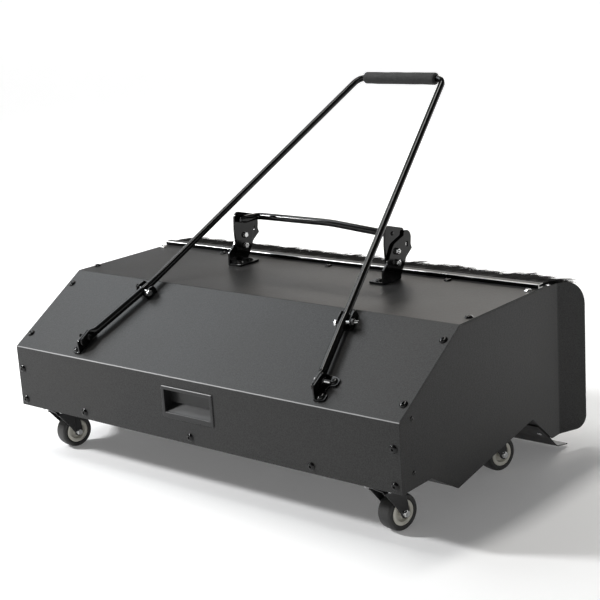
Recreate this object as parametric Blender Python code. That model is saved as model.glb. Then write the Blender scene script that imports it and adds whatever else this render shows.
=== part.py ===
"""Dirt hopper of a push sweeper: a folded sheet-steel box on four swivel casters.

The hood (front, slanted and top panels) is screwed onto two side panels whose rear
edges flare out as wings. The box is open at the rear, where it hooks onto the sweeper.
A folding U handle lies back over the slanted panel, and two hitch brackets with a
release bail stand on the top panel.

Metres, +Z up, +Y from the front panel to the open rear. The origin is on the ground,
under the centre of the whole object's box.
"""
import math

import bpy
import bmesh
from mathutils import Matrix, Vector
from mathutils.geometry import tessellate_polygon

# Placing: the (y, z) outlines below are measured from the crease between the front
# panel and the slanted panel, and these two values put that crease in the world.
FRONT_Y = -0.3245
CREASE_Z = 0.198

GAP = 0.0003            # clearance between pieces that rest on each other
SHEET = 0.002           # sheet thickness of hood, sides and tray
HALF_WIDTH = 0.425      # half the width of the hood

# Hood outline
FRONT_HEIGHT = 0.1112
SLANT_RUN = 0.1665
SLANT_RISE = 0.105
HOOD_DEPTH = 0.430
SLOPE = math.atan2(SLANT_RISE, SLANT_RUN)

# Side panels
FLANGE_WIDTH = 0.025
WING_BEND_Y = 0.460
WING_LENGTH = 0.061
WING_ANGLE = math.radians(22)

# Casters
WHEEL_RADIUS = 0.030
WHEEL_HALF_WIDTH = 0.014
CASTER_TRAIL = 0.022
CASTER_X = 0.366
CASTER_FRONT_Y = 0.038
CASTER_REAR_Y = 0.322
PLATFORM_Z = -0.1105    # underside of the tray where the casters are bolted on
CASTER_SWIVEL = {       # resting swivel angle of each caster, in degrees
    "front_left": -12,
    "front_right": -12,
    "rear_left": -20,
    "rear_right": -15,
}

# Pull handle: the foot bolts and the corners with (y, z), and each leg's own x values
FOOT_X = {"left": -0.2581, "right": 0.2591}
FOOT_AXIS = (0.0280, 0.0317)
MIDDLE_POINT = (0.1336, 0.0978)
MIDDLE_X = {"left": -0.2175, "right": 0.2310}
CORNER_X = 0.0972
CORNER_POINT = (0.6393, 0.4150)
LOWER_TUBE_RADIUS = 0.007
LOWER_TUBE_BORE = 0.0063
UPPER_TUBE_RADIUS = 0.006
GRIP_RADIUS = 0.0115
GRIP_LENGTH = 0.164

# Leg brackets: the bolt's place along the leg from its middle point, the outer faces of
# the two ears across the leg, and the ends of the ears along it from the bolt
BRACKET_BOLT = {"left": -0.001, "right": -0.008}
BRACKET_FACES = {"left": (-0.0150, 0.0175), "right": (-0.0100, 0.0160)}
BRACKET_ENDS = {"left": (-0.0080, 0.0150), "right": (-0.0070, 0.0250)}
BRACKET_SHEET = 0.0025

# Hitch brackets
BAR_PLATE_X = (0.1690, 0.1730)
HOOK_PLATE_X = (0.1733, 0.1773)
BAIL_PIVOT = (0.351, 0.187)
BAIL_RADIUS = 0.0065

# M6 fasteners
SHANK_RADIUS = 0.003
HOLE_RADIUS = 0.0034
HEX_RADIUS = 0.0058

COLOURS = {             # name: (colour, roughness, metallic)
    "powder_coat": ((0.060, 0.060, 0.060, 1), 0.5, 0.0),
    "dark_coat": ((0.020, 0.020, 0.021, 1), 0.45, 0.0),
    "gloss_black": ((0.012, 0.012, 0.012, 1), 0.3, 0.0),
    "black_plastic": ((0.025, 0.025, 0.025, 1), 0.5, 0.0),
    "foam": ((0.018, 0.018, 0.018, 1), 0.9, 0.0),
    "bristle": ((0.010, 0.010, 0.010, 1), 0.7, 0.0),
    "rubber": ((0.020, 0.021, 0.020, 1), 0.7, 0.0),
    "hub_plastic": ((0.42, 0.41, 0.37, 1), 0.5, 0.0),
    "zinc": ((0.70, 0.71, 0.73, 1), 0.25, 1.0),
}


# ---------------------------------------------------------------- outlines
def unit(a, b):
    """The direction from point a to point b."""
    return (Vector(b) - Vector(a)).normalized()


def rounded(corners, steps=4, closed=True):
    """Outline through corners (a, b, radius), with an arc at each corner's radius."""
    points = []
    count = len(corners)
    for i, (a, b, radius) in enumerate(corners):
        corner = Vector((a, b))
        at_end = not closed and i in (0, count - 1)
        if radius == 0 or at_end:
            points.append(corner)
            continue
        to_last = unit(corner, corners[i - 1][:2])
        to_next = unit(corner, corners[(i + 1) % count][:2])
        half = math.acos(max(-1, min(1, to_last.dot(to_next)))) / 2
        centre = corner + (to_last + to_next).normalized() * radius / math.sin(half)
        first = corner + to_last * radius / math.tan(half) - centre
        last = corner + to_next * radius / math.tan(half) - centre
        sweep = first.angle_signed(last)
        for k in range(steps + 1):
            points.append(centre + Matrix.Rotation(-sweep * k / steps, 2) @ first)
    return points


def circle(a, b, radius, count=12):
    """A round outline."""
    angles = [2 * math.pi * k / count for k in range(count)]
    return [Vector((a + radius * math.cos(t), b + radius * math.sin(t))) for t in angles]


def offset_path(points, distance):
    """A path beside an open path, to the right of its direction of travel."""
    result = []
    for i, point in enumerate(points):
        ahead = unit(point, points[i + 1]) if i + 1 < len(points) else None
        behind = unit(points[i - 1], point) if i else ahead
        ahead = ahead or behind
        along = (ahead + behind).normalized()
        mitre = distance / along.dot(ahead)
        result.append(Vector(point) + Vector((along.y, -along.x)) * mitre)
    return result


def band(path, inner, outer):
    """The closed outline between two offsets of a path."""
    return offset_path(path, inner) + offset_path(path, outer)[::-1]


# ---------------------------------------------------------------- solids
def loft(rings, closed=False):
    """Skin equal rings of points; the ends are capped unless the rings form a loop."""
    count = len(rings[0])
    verts = [Vector(point) for ring in rings for point in ring]
    faces = []
    for i in range(len(rings) if closed else len(rings) - 1):
        a = i * count
        b = (i + 1) % len(rings) * count
        for j in range(count):
            k = (j + 1) % count
            faces.append((a + j, a + k, b + k, b + j))
    if not closed:
        faces.append(tuple(range(count)))
        faces.append(tuple(range(len(verts) - count, len(verts))))
    return verts, faces


def prism(outline, low, high, holes=()):
    """Extrude an outline of (a, b) points, with holes, from height low to high."""
    loops = [[Vector((a, b, 0)) for a, b in loop] for loop in (outline, *holes)]
    triangles = tessellate_polygon(loops)
    points = [point for loop in loops for point in loop]
    count = len(points)
    verts = [point + Vector((0, 0, height)) for height in (low, high) for point in points]
    faces = [tuple(triangle) for triangle in triangles]
    faces += [tuple(count + i for i in triangle) for triangle in triangles]
    start = 0
    for loop in loops:
        for j in range(len(loop)):
            i = start + j
            k = start + (j + 1) % len(loop)
            faces.append((i, k, count + k, count + i))
        start += len(loop)
    return verts, faces


def cross_prism(outline, low, high, holes=()):
    """A prism whose (y, z) outline runs along X from low to high, in the world."""
    verts, faces = prism(outline, low, high, holes)
    return [Vector((v.z, v.x + FRONT_Y, v.y + CREASE_Z)) for v in verts], faces


def spindle(steps, count=8):
    """A turned solid about Z from steps of (radius, height, sides); six sides is a hexagon."""
    rings = []
    for radius, height, sides in steps:
        ring = []
        for k in range(count):
            angle = 2 * math.pi * k / count
            reach = radius
            if sides == 6:
                off_corner = (angle + math.pi / 6) % (math.pi / 3) - math.pi / 6
                reach = radius * math.cos(math.pi / 6) / math.cos(math.pi / 6 - abs(off_corner))
            ring.append((reach * math.cos(angle), reach * math.sin(angle), height))
        rings.append(ring)
    return loft(rings)


def turned_ring(profile, count=20):
    """A ring about X from a closed profile of (radius, x) points."""
    rings = []
    for k in range(count):
        angle = 2 * math.pi * k / count
        rings.append([(x, r * math.cos(angle), r * math.sin(angle)) for r, x in profile])
    return loft(rings, closed=True)


def moved(shape, matrix):
    """A shape with its points carried through a matrix."""
    return [matrix @ Vector(v) for v in shape[0]], shape[1]


def joined(shapes):
    """Several separate solids as one shape."""
    verts = []
    faces = []
    for shape_verts, shape_faces in shapes:
        start = len(verts)
        verts += shape_verts
        faces += [tuple(start + i for i in face) for face in shape_faces]
    return verts, faces


def world(x, y, z):
    """A point measured from the crease, in the world."""
    return Vector((x, y + FRONT_Y, z + CREASE_Z))


def standing(point, normal):
    """The matrix that stands a shape's Z axis along a normal at a world point."""
    turn = Vector((0, 0, 1)).rotation_difference(Vector(normal)).to_matrix().to_4x4()
    return Matrix.Translation(point) @ turn


# ---------------------------------------------------------------- objects
def clear_scene():
    """Remove every object from the scene."""
    for obj in list(bpy.data.objects):
        bpy.data.objects.remove(obj)


def material(name):
    """The Principled material of one of the COLOURS."""
    found = bpy.data.materials.get(name)
    if found:
        return found
    colour, roughness, metallic = COLOURS[name]
    made = bpy.data.materials.new(name)
    made.use_nodes = True
    shader = made.node_tree.nodes["Principled BSDF"]
    shader.inputs["Base Color"].default_value = colour
    shader.inputs["Roughness"].default_value = roughness
    shader.inputs["Metallic"].default_value = metallic
    return made


def add_object(name, shape, look, origin=(0, 0, 0), turn=0.0):
    """Make a mesh object at an origin; its points are given relative to that origin."""
    mesh = bpy.data.meshes.new(name)
    mesh.from_pydata([tuple(v) for v in shape[0]], [], shape[1])
    mesh.update()
    bm = bmesh.new()
    bm.from_mesh(mesh)
    bmesh.ops.recalc_face_normals(bm, faces=bm.faces)
    bm.to_mesh(mesh)
    bm.free()
    mesh.shade_smooth()
    mesh.set_sharp_from_angle(angle=math.radians(35))
    mesh.materials.append(material(look))
    obj = bpy.data.objects.new(name, mesh)
    bpy.context.collection.objects.link(obj)
    obj.location = origin
    obj.rotation_euler = (0, 0, turn)
    return obj


def add_about(name, shape, look, origin):
    """Make an object from world points, with its own origin at the given world point."""
    return add_object(name, moved(shape, Matrix.Translation(-Vector(origin))), look, origin)


def boolean(obj, tool_shape, operation="DIFFERENCE"):
    """Cut a shape from an object, or fuse it on; the shape is relative to its origin."""
    tool = add_object("tool", tool_shape, "zinc", obj.location, obj.rotation_euler.z)
    modifier = obj.modifiers.new("boolean", "BOOLEAN")
    modifier.operation = operation
    modifier.solver = "EXACT"
    modifier.object = tool
    bpy.context.view_layer.update()
    graph = bpy.context.evaluated_depsgraph_get()
    mesh = bpy.data.meshes.new_from_object(obj.evaluated_get(graph))
    obj.modifiers.clear()
    obj.data = mesh
    mesh.name = obj.name
    bpy.data.objects.remove(tool)


def drill(obj, places, radius=HOLE_RADIUS, reach=0.012):
    """Drill round holes through an object at world places (point, direction)."""
    home = Matrix.Translation(-obj.location)
    hole = spindle([(radius, -reach, 0), (radius, reach, 0)], count=8)
    cutters = [moved(hole, home @ standing(point, axis)) for point, axis in places]
    boolean(obj, joined(cutters))


# ---------------------------------------------------------------- fasteners
def button_screw(length=0.008):
    """M6 flanged button screw; z = 0 is the surface that it clamps."""
    return spindle([
        (SHANK_RADIUS, -length, 0),
        (SHANK_RADIUS, GAP, 0),
        (0.0068, GAP, 0),
        (0.0068, 0.0011, 0),
        (0.0054, 0.0028, 0),
        (0.0026, 0.0036, 0),
    ])


def hex_bolt(grip, tail=0.002):
    """M6 hexagon bolt and nut along Z, clamping from z = 0 down to z = -grip."""
    end = -grip - GAP
    return spindle([
        (SHANK_RADIUS, end - 0.005 - tail, 0),
        (SHANK_RADIUS, end - 0.005, 0),
        (HEX_RADIUS, end - 0.005, 6),
        (HEX_RADIUS, end, 6),
        (SHANK_RADIUS, end, 0),
        (SHANK_RADIUS, GAP, 0),
        (HEX_RADIUS, GAP, 6),
        (HEX_RADIUS, 0.0040, 6),
        (0.0045, 0.0044, 0),
    ], count=12)


def add_screws(name, places, base, length):
    """One button screw at each place, on a base of the given thickness."""
    for number, (point, normal) in enumerate(places, start=1):
        seat = point + Vector(normal) * (GAP + base)
        add_object(f"{name}_{number}", moved(button_screw(length), standing((0, 0, 0), normal)),
                   "gloss_black", seat)


# ---------------------------------------------------------------- places
FRONT_NORMAL = (0, -1, 0)
TOP_NORMAL = (0, 0, 1)
SLANT_NORMAL = (0, -math.sin(SLOPE), math.cos(SLOPE))


def on_front(x, z):
    """A place on the front panel's outer face."""
    return world(x, 0, z), FRONT_NORMAL


def on_slant(x, along, above=0.0):
    """A place on the slanted panel, a distance up its slope and above its face."""
    y = along * math.cos(SLOPE) - above * math.sin(SLOPE)
    z = along * math.sin(SLOPE) + above * math.cos(SLOPE)
    return world(x, y, z), SLANT_NORMAL


def on_top(x, y):
    """A place on the top panel."""
    return world(x, y, SLANT_RISE), TOP_NORMAL


def hood_screw_places():
    """The screws that hold the hood to the side flanges, the tray and the stiffener."""
    places = [on_front(0, -0.0990), on_top(0, 0.3875)]
    for side in (-1, 1):
        places += [on_front(side * 0.413, z) for z in (-0.0415, -0.0995)]
        places += [on_front(side * 0.256, -0.0990), on_top(side * 0.258, 0.3875)]
        places += [on_slant(side * 0.414, along) for along in (0.034, 0.1625)]
        places += [on_top(side * 0.416, y) for y in (0.206, 0.383)]
    return places


def handle_foot_places():
    """The screws that hold the handle's feet to the slanted panel."""
    lugs = ((0.273, 0.0175), (0.278, 0.049))
    return [on_slant(side * x, along) for side in (-1, 1) for x, along in lugs]


def hitch_foot_places():
    """The screws that hold the hitch brackets to the top panel."""
    return [on_top(side * 0.160, y) for side in (-1, 1) for y in (0.3255, 0.3545)]


def caster_centres():
    """Each caster's name and its swivel axis at the tray's underside."""
    for end, y in (("front", CASTER_FRONT_Y), ("rear", CASTER_REAR_Y)):
        for hand, side in (("left", -1), ("right", 1)):
            yield f"{end}_{hand}", world(side * CASTER_X, y, PLATFORM_Z)


def caster_bolt_places():
    """The bolts through the casters' plates and the tray."""
    places = []
    for _, centre in caster_centres():
        for dx in (-0.0225, 0.0225):
            for dy in (-0.0190, 0.0190):
                top = centre + Vector((dx, dy, SHEET))
                places.append((top, TOP_NORMAL))
    return places


# ---------------------------------------------------------------- box
def hood_path():
    """The hood's outer outline, from the front's lower edge to the top's rear edge."""
    return rounded([
        (0, -FRONT_HEIGHT, 0),
        (0, 0, 0.004),
        (SLANT_RUN, SLANT_RISE, 0.004),
        (HOOD_DEPTH, SLANT_RISE, 0),
    ], steps=3, closed=False)


def make_hood():
    """Front, slanted and top panels folded from one sheet."""
    hood = add_object("hood_shell", cross_prism(
        band(hood_path(), 0, SHEET), -HALF_WIDTH, HALF_WIDTH), "powder_coat")
    window = rounded([(y, z, 0) for y, z in (
        (-0.01, -0.0680), (0.01, -0.0680), (0.01, -0.0210), (-0.01, -0.0210))])
    boolean(hood, cross_prism(window, -0.0535, 0.0535))
    drill(hood, hood_screw_places() + handle_foot_places() + hitch_foot_places())


def side_outline():
    """The side panel laid flat: the wing beyond WING_BEND_Y is not bent yet."""
    inner = offset_path(hood_path(), SHEET + GAP)
    wing_end = WING_BEND_Y + WING_LENGTH
    lower = rounded([
        (*inner[-1], 0),
        (wing_end, 0.0970, 0.045),
        (wing_end, -0.1650, 0.022),
        (0.437, -0.1650, 0.003),
        (0.373, -0.1115, 0.003),
        (0.147, -0.1525, 0.003),
        (0.077, -0.1115, 0.003),
        (0.002, -0.1115, 0),
    ], steps=6, closed=False)[1:-1]
    return inner[1:] + lower + [Vector((SHEET + GAP, -0.1115))]


def bend_wing(verts):
    """Turn the part of a right-hand side panel beyond the bend outward."""
    radius = 0.012
    turned = []
    for v in verts:
        past = v.y - (WING_BEND_Y + FRONT_Y)
        if past <= 0:
            turned.append(v)
            continue
        angle = min(WING_ANGLE, past / radius)
        rest = past - angle * radius
        depth = radius - (v.x - HALF_WIDTH)
        x = HALF_WIDTH + radius - depth * math.cos(angle) + rest * math.sin(angle)
        y = WING_BEND_Y + FRONT_Y + depth * math.sin(angle) + rest * math.cos(angle)
        turned.append(Vector((x, y, v.z)))
    return turned


def make_side_panel(name, side):
    """Side panel with an inward flange under the hood and an outward flared rear wing."""
    face = HALF_WIDTH - GAP
    plate = add_object(name, cross_prism(side_outline(), face - SHEET, face), "powder_coat")
    bm = bmesh.new()
    bm.from_mesh(plate.data)
    for past in (0, 0.0015, 0.0031, 0.0046):
        cut = (0, WING_BEND_Y + FRONT_Y + past, 0)
        bmesh.ops.bisect_plane(bm, geom=bm.verts[:] + bm.edges[:] + bm.faces[:], dist=1e-6,
                               plane_co=cut, plane_no=(0, 1, 0))
    for vert, bent in zip(bm.verts, bend_wing([v.co.copy() for v in bm.verts])):
        vert.co = bent
    bm.to_mesh(plate.data)
    bm.free()
    flange_path = [Vector((0, -0.1040)), *hood_path()[1:-1], Vector((0.420, SLANT_RISE))]
    flange = cross_prism(band(flange_path, SHEET + 1.5 * GAP, 2 * SHEET + GAP),
                         face - FLANGE_WIDTH, face - SHEET / 2)
    boolean(plate, flange, "UNION")
    rivet_holes = [(world(HALF_WIDTH, 0.0317, z), (1, 0, 0)) for z in (-0.003, -0.0875)]
    drill(plate, [p for p in hood_screw_places() if p[0].x > 0.4])
    drill(plate, rivet_holes, radius=0.0026)
    if side < 0:
        mirror(plate)


def mirror(obj):
    """Turn an object into its mirror image across X = 0."""
    obj.data.transform(Matrix.Diagonal((-1, 1, 1, 1)))
    obj.data.flip_normals()
    obj.location.x = -obj.location.x


def make_tray():
    """Floor of the box, with a platform for each pair of casters and a rear slope."""
    floor_path = rounded([
        (SHEET + 2 * GAP, PLATFORM_Z, 0),
        (0.0770, PLATFORM_Z, 0.004),
        (0.1470, -0.1515, 0.004),
        (0.2520, PLATFORM_Z, 0.004),
        (0.3730, PLATFORM_Z, 0.004),
        (0.4365, -0.1640, 0),
    ], steps=2, closed=False)
    half = HALF_WIDTH - SHEET - 3 * GAP
    tray = add_object("bottom_tray", cross_prism(
        band(floor_path, -SHEET, 0), -half, half), "powder_coat")
    upstand = [(SHEET + 2 * GAP, PLATFORM_Z), (2 * SHEET + 2 * GAP, PLATFORM_Z),
               (2 * SHEET + 2 * GAP, -0.0860), (SHEET + 2 * GAP, -0.0860)]
    inside = half - FLANGE_WIDTH - SHEET
    boolean(tray, cross_prism(upstand, -inside, inside), "UNION")
    drill(tray, [p for p in hood_screw_places() if p[0].z < 0.11 and abs(p[0].x) < 0.3])
    drill(tray, caster_bolt_places())
    drill(tray, lip_rivet_places(), radius=0.0026)


LIP_SLOPE = math.atan2(0.1640 + PLATFORM_Z, 0.4365 - 0.3730)


def lip_rivet_places():
    """The rivets along the tray's rear slope, from inside the box."""
    down = (0.423 - 0.3730) * math.tan(LIP_SLOPE)
    normal = Vector((0, math.sin(LIP_SLOPE), math.cos(LIP_SLOPE)))
    places = []
    for x in (-0.409, -0.240, -0.080, 0.080, 0.240, 0.409):
        places.append((world(x, 0.423, PLATFORM_Z - down) + normal * SHEET, normal))
    return places


def make_lip():
    """Strip under the tray's rear slope that runs down to just above the ground."""
    path = rounded([
        (0.3960, PLATFORM_Z - (0.3960 - 0.3730) * math.tan(LIP_SLOPE), 0),
        (0.4365, -0.1640, 0.010),
        (0.4590, -0.1850, 0.025),
        (0.4940, -0.1920, 0),
    ], steps=4, closed=False)
    half = HALF_WIDTH - SHEET - 3 * GAP
    lip = add_object("rear_lip", cross_prism(
        band(path, GAP, GAP + 0.0022), -half, half), "rubber")
    drill(lip, lip_rivet_places(), radius=0.0026)


def make_stiffeners():
    """Angle under the top's rear edge and backing bar under the handle's feet."""
    inside = HALF_WIDTH - FLANGE_WIDTH - 3 * GAP - SHEET
    top = SLANT_RISE - SHEET - GAP
    angle = [(0.3765, top), (0.3985, top), (0.3985, top - 0.020), (0.3965, top - 0.020),
             (0.3965, top - SHEET), (0.3765, top - SHEET)]
    rear = add_object("rear_stiffener", cross_prism(angle, -inside, inside), "powder_coat")
    drill(rear, [p for p in hood_screw_places() if p[0].z > 0.29 and abs(p[0].x) < 0.3])
    corners = []
    for along, below in ((0.011, 0.0023), (0.062, 0.0023), (0.062, 0.0053), (0.011, 0.0053)):
        point = on_slant(0, along, -below)[0]
        corners.append((point.y - FRONT_Y, point.z - CREASE_Z))
    bar = add_object("handle_backing_bar", cross_prism(corners, -inside, inside), "powder_coat")
    drill(bar, handle_foot_places())


def make_grip_cup():
    """Moulded recess in the front panel with a thin bezel and a sloping floor."""
    bezel = cross_prism([(-0.0018, -0.0720), (-GAP, -0.0720), (-GAP, -0.0170), (-0.0018, -0.0170)],
                        -0.0575, 0.0575)
    cup = add_object("grip_cup", bezel, "black_plastic")
    tub = [(-0.0010, -0.0646), (0.0033, -0.0646), (0.0175, -0.0503), (0.0175, -0.0214),
           (-0.0010, -0.0214)]
    boolean(cup, cross_prism(tub, -0.0531, 0.0531), "UNION")
    hollow = [(-0.0030, -0.0626), (0.0024, -0.0626), (0.0155, -0.0494), (0.0155, -0.0234),
              (-0.0030, -0.0234)]
    boolean(cup, cross_prism(hollow, -0.0511, 0.0511))


def make_brush():
    """Rail along the top's rear edge and the bristle strip that it holds."""
    base = SLANT_RISE + GAP
    channel = [(0.4010, base), (0.4160, base), (0.4160, base + 0.0016), (0.4040, base + 0.0016),
               (0.4040, base + 0.0056), (0.4160, base + 0.0056), (0.4160, base + 0.0072),
               (0.4010, base + 0.0072)]
    add_object("brush_rail", cross_prism(channel, -HALF_WIDTH, HALF_WIDTH), "zinc")
    strip = [(0.4044, base + 0.0020), (0.4165, base + 0.0020), (0.4320, base + 0.0006),
             (0.4700, 0.0985), (0.5080, 0.0840), (0.5085, 0.0930), (0.4720, 0.1070),
             (0.4320, base + 0.0060), (0.4165, base + 0.0052), (0.4044, base + 0.0052)]
    half = HALF_WIDTH - SHEET - 5 * GAP
    add_object("brush_bristles", cross_prism(strip, -half, half), "bristle")


# ---------------------------------------------------------------- pull handle
class Leg:
    """The line of one leg: its foot, its straight part and its corner, in the world."""

    def __init__(self, hand):
        self.side = -1 if hand == "left" else 1
        self.foot = world(FOOT_X[hand], *FOOT_AXIS)
        self.middle = world(MIDDLE_X[hand], *MIDDLE_POINT)
        self.corner = world(self.side * CORNER_X, *CORNER_POINT)
        self.along = unit(self.foot, self.middle)
        self.across = self.along.cross(Vector(SLANT_NORMAL)).normalized()
        self.bolt = self.at(BRACKET_BOLT[hand])
        self.faces = BRACKET_FACES[hand]
        self.ends = BRACKET_ENDS[hand]

    def at(self, distance):
        """The point on the straight part a distance beyond the middle."""
        return self.middle + self.along * distance


def sweep(sections, upright, count=12):
    """A tube through sections (centre, half width, half height) that keeps one upright."""
    centres = [section[0] for section in sections]
    rings = []
    for i, (centre, wide, high) in enumerate(sections):
        along = unit(centres[max(i - 1, 0)], centres[min(i + 1, len(centres) - 1)])
        across = along.cross(Vector(upright)).normalized()
        up = across.cross(along)
        ring = []
        for k in range(count):
            angle = 2 * math.pi * (k + 0.5) / count
            ring.append(centre + across * wide * math.cos(angle) + up * high * math.sin(angle))
        rings.append(ring)
    return loft(rings)


def make_lower_tube(name, leg):
    """Lower tube of a leg: flattened at the foot, open at the top for the upper tube."""
    flat = Vector((0, leg.along.y, leg.along.z)).normalized()
    radius = LOWER_TUBE_RADIUS
    sections = [
        (leg.foot - flat * 0.0200, 0.0020, 0.0030),
        (leg.foot - flat * 0.0188, 0.0026, 0.0058),
        (leg.foot - flat * 0.0150, 0.0026, 0.0088),
        (leg.foot + flat * 0.0060, 0.0026, 0.0092),
        (leg.foot + flat * 0.0085, 0.0028, 0.0090),
        (leg.foot + leg.along * 0.0180, radius * 0.90, radius * 1.05),
        (leg.foot + leg.along * 0.0220, radius, radius),
        (leg.at(0.010), radius, radius),
    ]
    tube = add_object(name, sweep(sections, SLANT_NORMAL), "gloss_black")
    bore = spindle([(LOWER_TUBE_BORE, -0.040, 0), (LOWER_TUBE_BORE, 0.020, 0)], count=12)
    boolean(tube, moved(bore, standing(leg.middle, leg.along)))
    drill(tube, [(leg.foot, (1, 0, 0)), (leg.bolt, leg.across)])


def make_handle_tube(left, right):
    """Upper handle: one tube bent into a U whose ends slide into the lower tubes."""
    bend = 0.018
    radius = UPPER_TUBE_RADIUS
    halves = []
    for leg in (left, right):
        centre = Vector((0, leg.corner.y, leg.corner.z))
        before = leg.corner + unit(leg.corner, leg.at(0.018)) * bend
        after = leg.corner + unit(leg.corner, centre) * bend
        curve = [before.lerp(leg.corner, s).lerp(leg.corner.lerp(after, s), s)
                 for s in (0, 0.25, 0.5, 0.75, 1)]
        halves.append([leg.at(-0.030), leg.at(0.010), leg.at(0.018), before.lerp(leg.at(0.018), 0.5),
                       *curve, centre.lerp(after, 0.5)])
    path = halves[0] + [Vector((0, left.corner.y, left.corner.z))] + halves[1][::-1]
    tube = add_object("handle_tube", sweep([(point, radius, radius) for point in path],
                                           SLANT_NORMAL), "gloss_black")
    drill(tube, [(leg.bolt, leg.across) for leg in (left, right)])


def make_foam_grip():
    """Foam sleeve around the handle's cross bar."""
    bore = UPPER_TUBE_RADIUS + 2 * GAP
    half = GRIP_LENGTH / 2
    profile = [(bore, -half), (GRIP_RADIUS - 0.003, -half), (GRIP_RADIUS, -half + 0.003),
               (GRIP_RADIUS, half - 0.003), (GRIP_RADIUS - 0.003, half), (bore, half)]
    add_object("foam_grip", turned_ring(profile, count=16), "foam", world(0, *CORNER_POINT))


def make_handle_foot(name, leg):
    """Foot bracket: base with two lugs on the slanted panel and an upright ear."""
    ear_x = abs(leg.foot.x) + 0.0029
    thickness = 0.003
    base_outline = rounded([
        (ear_x, 0.0090, 0.001), (0.2730, 0.0085, 0.004), (0.2820, 0.0120, 0.005),
        (0.2820, 0.0240, 0.005), (0.2740, 0.0270, 0.004), (0.2740, 0.0390, 0.004),
        (0.2870, 0.0420, 0.005), (0.2870, 0.0555, 0.005), (0.2780, 0.0590, 0.004),
        (ear_x, 0.0600, 0.001),
    ], steps=2)
    slope = Matrix.Translation(world(0, 0, 0)) @ Matrix.Rotation(SLOPE, 4, "X")
    base = moved(prism(base_outline, GAP, GAP + thickness), slope)
    foot = add_object(name, base, "gloss_black")
    ear_outline = rounded([
        (0.0090, GAP + 0.001, 0), (0.0600, GAP + 0.001, 0), (0.0570, 0.0070, 0.006),
        (0.0510, 0.0210, 0.009), (0.0190, 0.0210, 0.009), (0.0120, 0.0070, 0.006),
    ], steps=3)
    verts, faces = prism(ear_outline, ear_x, ear_x + thickness)
    ear = [Vector((v.z, v.x, v.y)) for v in verts], faces
    boolean(foot, moved(ear, slope), "UNION")
    drill(foot, [p for p in handle_foot_places() if p[0].x > 0])
    drill(foot, [(world(ear_x, *FOOT_AXIS), (1, 0, 0))])
    if leg.side < 0:
        mirror(foot)


def make_leg_bracket(name, leg):
    """Channel on the slanted panel in line with its leg, with an ear on either side."""
    normal = Vector(SLANT_NORMAL)
    level = (leg.across.cross(normal) * -1).normalized()
    height = (leg.bolt - world(0, 0, 0)).dot(normal)
    base = leg.bolt - normal * height
    frame = Matrix((leg.across, level, normal)).transposed().to_4x4()
    frame = Matrix.Translation(base) @ frame
    left, right = leg.faces
    near, far = leg.ends
    wall = BRACKET_SHEET / 2
    floor = prism([(left + wall, near + GAP), (right - wall, near + GAP),
                   (right - wall, far - GAP), (left + wall, far - GAP)],
                  GAP, GAP + BRACKET_SHEET)
    bracket = add_object(name, moved(floor, frame), "gloss_black")
    ear_outline = rounded([
        (near, 0.0010, 0), (far, 0.0010, 0), (far, 0.0165, 0.005),
        ((near + far) / 2, 0.0178, 0.012), (near, 0.0160, 0.006),
    ], steps=3)
    for low in (left, right - BRACKET_SHEET):
        verts, faces = prism(ear_outline, low, low + BRACKET_SHEET)
        ear = [Vector((v.z, v.x, v.y)) for v in verts], faces
        boolean(bracket, moved(ear, frame), "UNION")
    drill(bracket, [(leg.bolt, leg.across)], reach=0.022)


def make_handle():
    """All the pieces of the pull handle."""
    legs = {hand: Leg(hand) for hand in ("left", "right")}
    for hand, leg in legs.items():
        make_handle_foot(f"handle_foot_{hand}", leg)
        make_lower_tube(f"lower_tube_{hand}", leg)
        make_leg_bracket(f"leg_bracket_{hand}", leg)
        head = leg.foot - Vector((leg.side * 0.0028, 0, 0))
        bolt = moved(hex_bolt(0.0087, tail=0.010), standing((0, 0, 0), (-leg.side, 0, 0)))
        add_object(f"foot_bolt_{hand}", bolt, "zinc", head)
        left, right = leg.faces
        head = leg.bolt + leg.across * left
        bolt = moved(hex_bolt(right - left, tail=0.006), standing((0, 0, 0), -leg.across))
        add_object(f"leg_bolt_{hand}", bolt, "zinc", head)
    make_handle_tube(legs["left"], legs["right"])
    make_foam_grip()
    add_screws("handle_foot_screw", handle_foot_places(), 0.003, 0.012)


# ---------------------------------------------------------------- hitch brackets
HITCH_BOLTS = ((0.3555, 0.1555), (0.3555, 0.1355))


def make_hook_plate(name, side):
    """Gooseneck plate with a rear hook and a foot flange screwed to the top panel."""
    base = SLANT_RISE + GAP
    outline = rounded([
        (0.3130, base, 0), (0.3145, 0.1290, 0.006), (0.3290, 0.1400, 0.012),
        (0.3470, 0.1690, 0.018), (0.3780, 0.1790, 0.004), (0.3800, 0.1870, 0.003),
        (0.4020, 0.1850, 0.014), (0.3985, 0.1600, 0.004), (0.4015, 0.1520, 0.001),
        (0.3840, 0.1400, 0.008), (0.3780, 0.1290, 0.010), (0.3670, 0.1120, 0.006),
        (0.3660, base, 0),
    ], steps=3)
    slot = rounded([(0.3838, 0.1575, 0.0026), (0.3892, 0.1575, 0.0026),
                    (0.3892, 0.1665, 0.0026), (0.3838, 0.1665, 0.0026)], steps=3)
    bolt_holes = [circle(y, z, HOLE_RADIUS) for y, z in HITCH_BOLTS]
    plate = add_object(name, cross_prism(outline, *HOOK_PLATE_X, holes=(slot, *bolt_holes)),
                       "gloss_black")
    foot = [(0.3130, base), (0.3660, base), (0.3660, base + 0.004), (0.3130, base + 0.004)]
    boolean(plate, cross_prism(foot, 0.1470, HOOK_PLATE_X[1] - 0.001), "UNION")
    drill(plate, [p for p in hitch_foot_places() if p[0].x > 0])
    if side < 0:
        mirror(plate)


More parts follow.
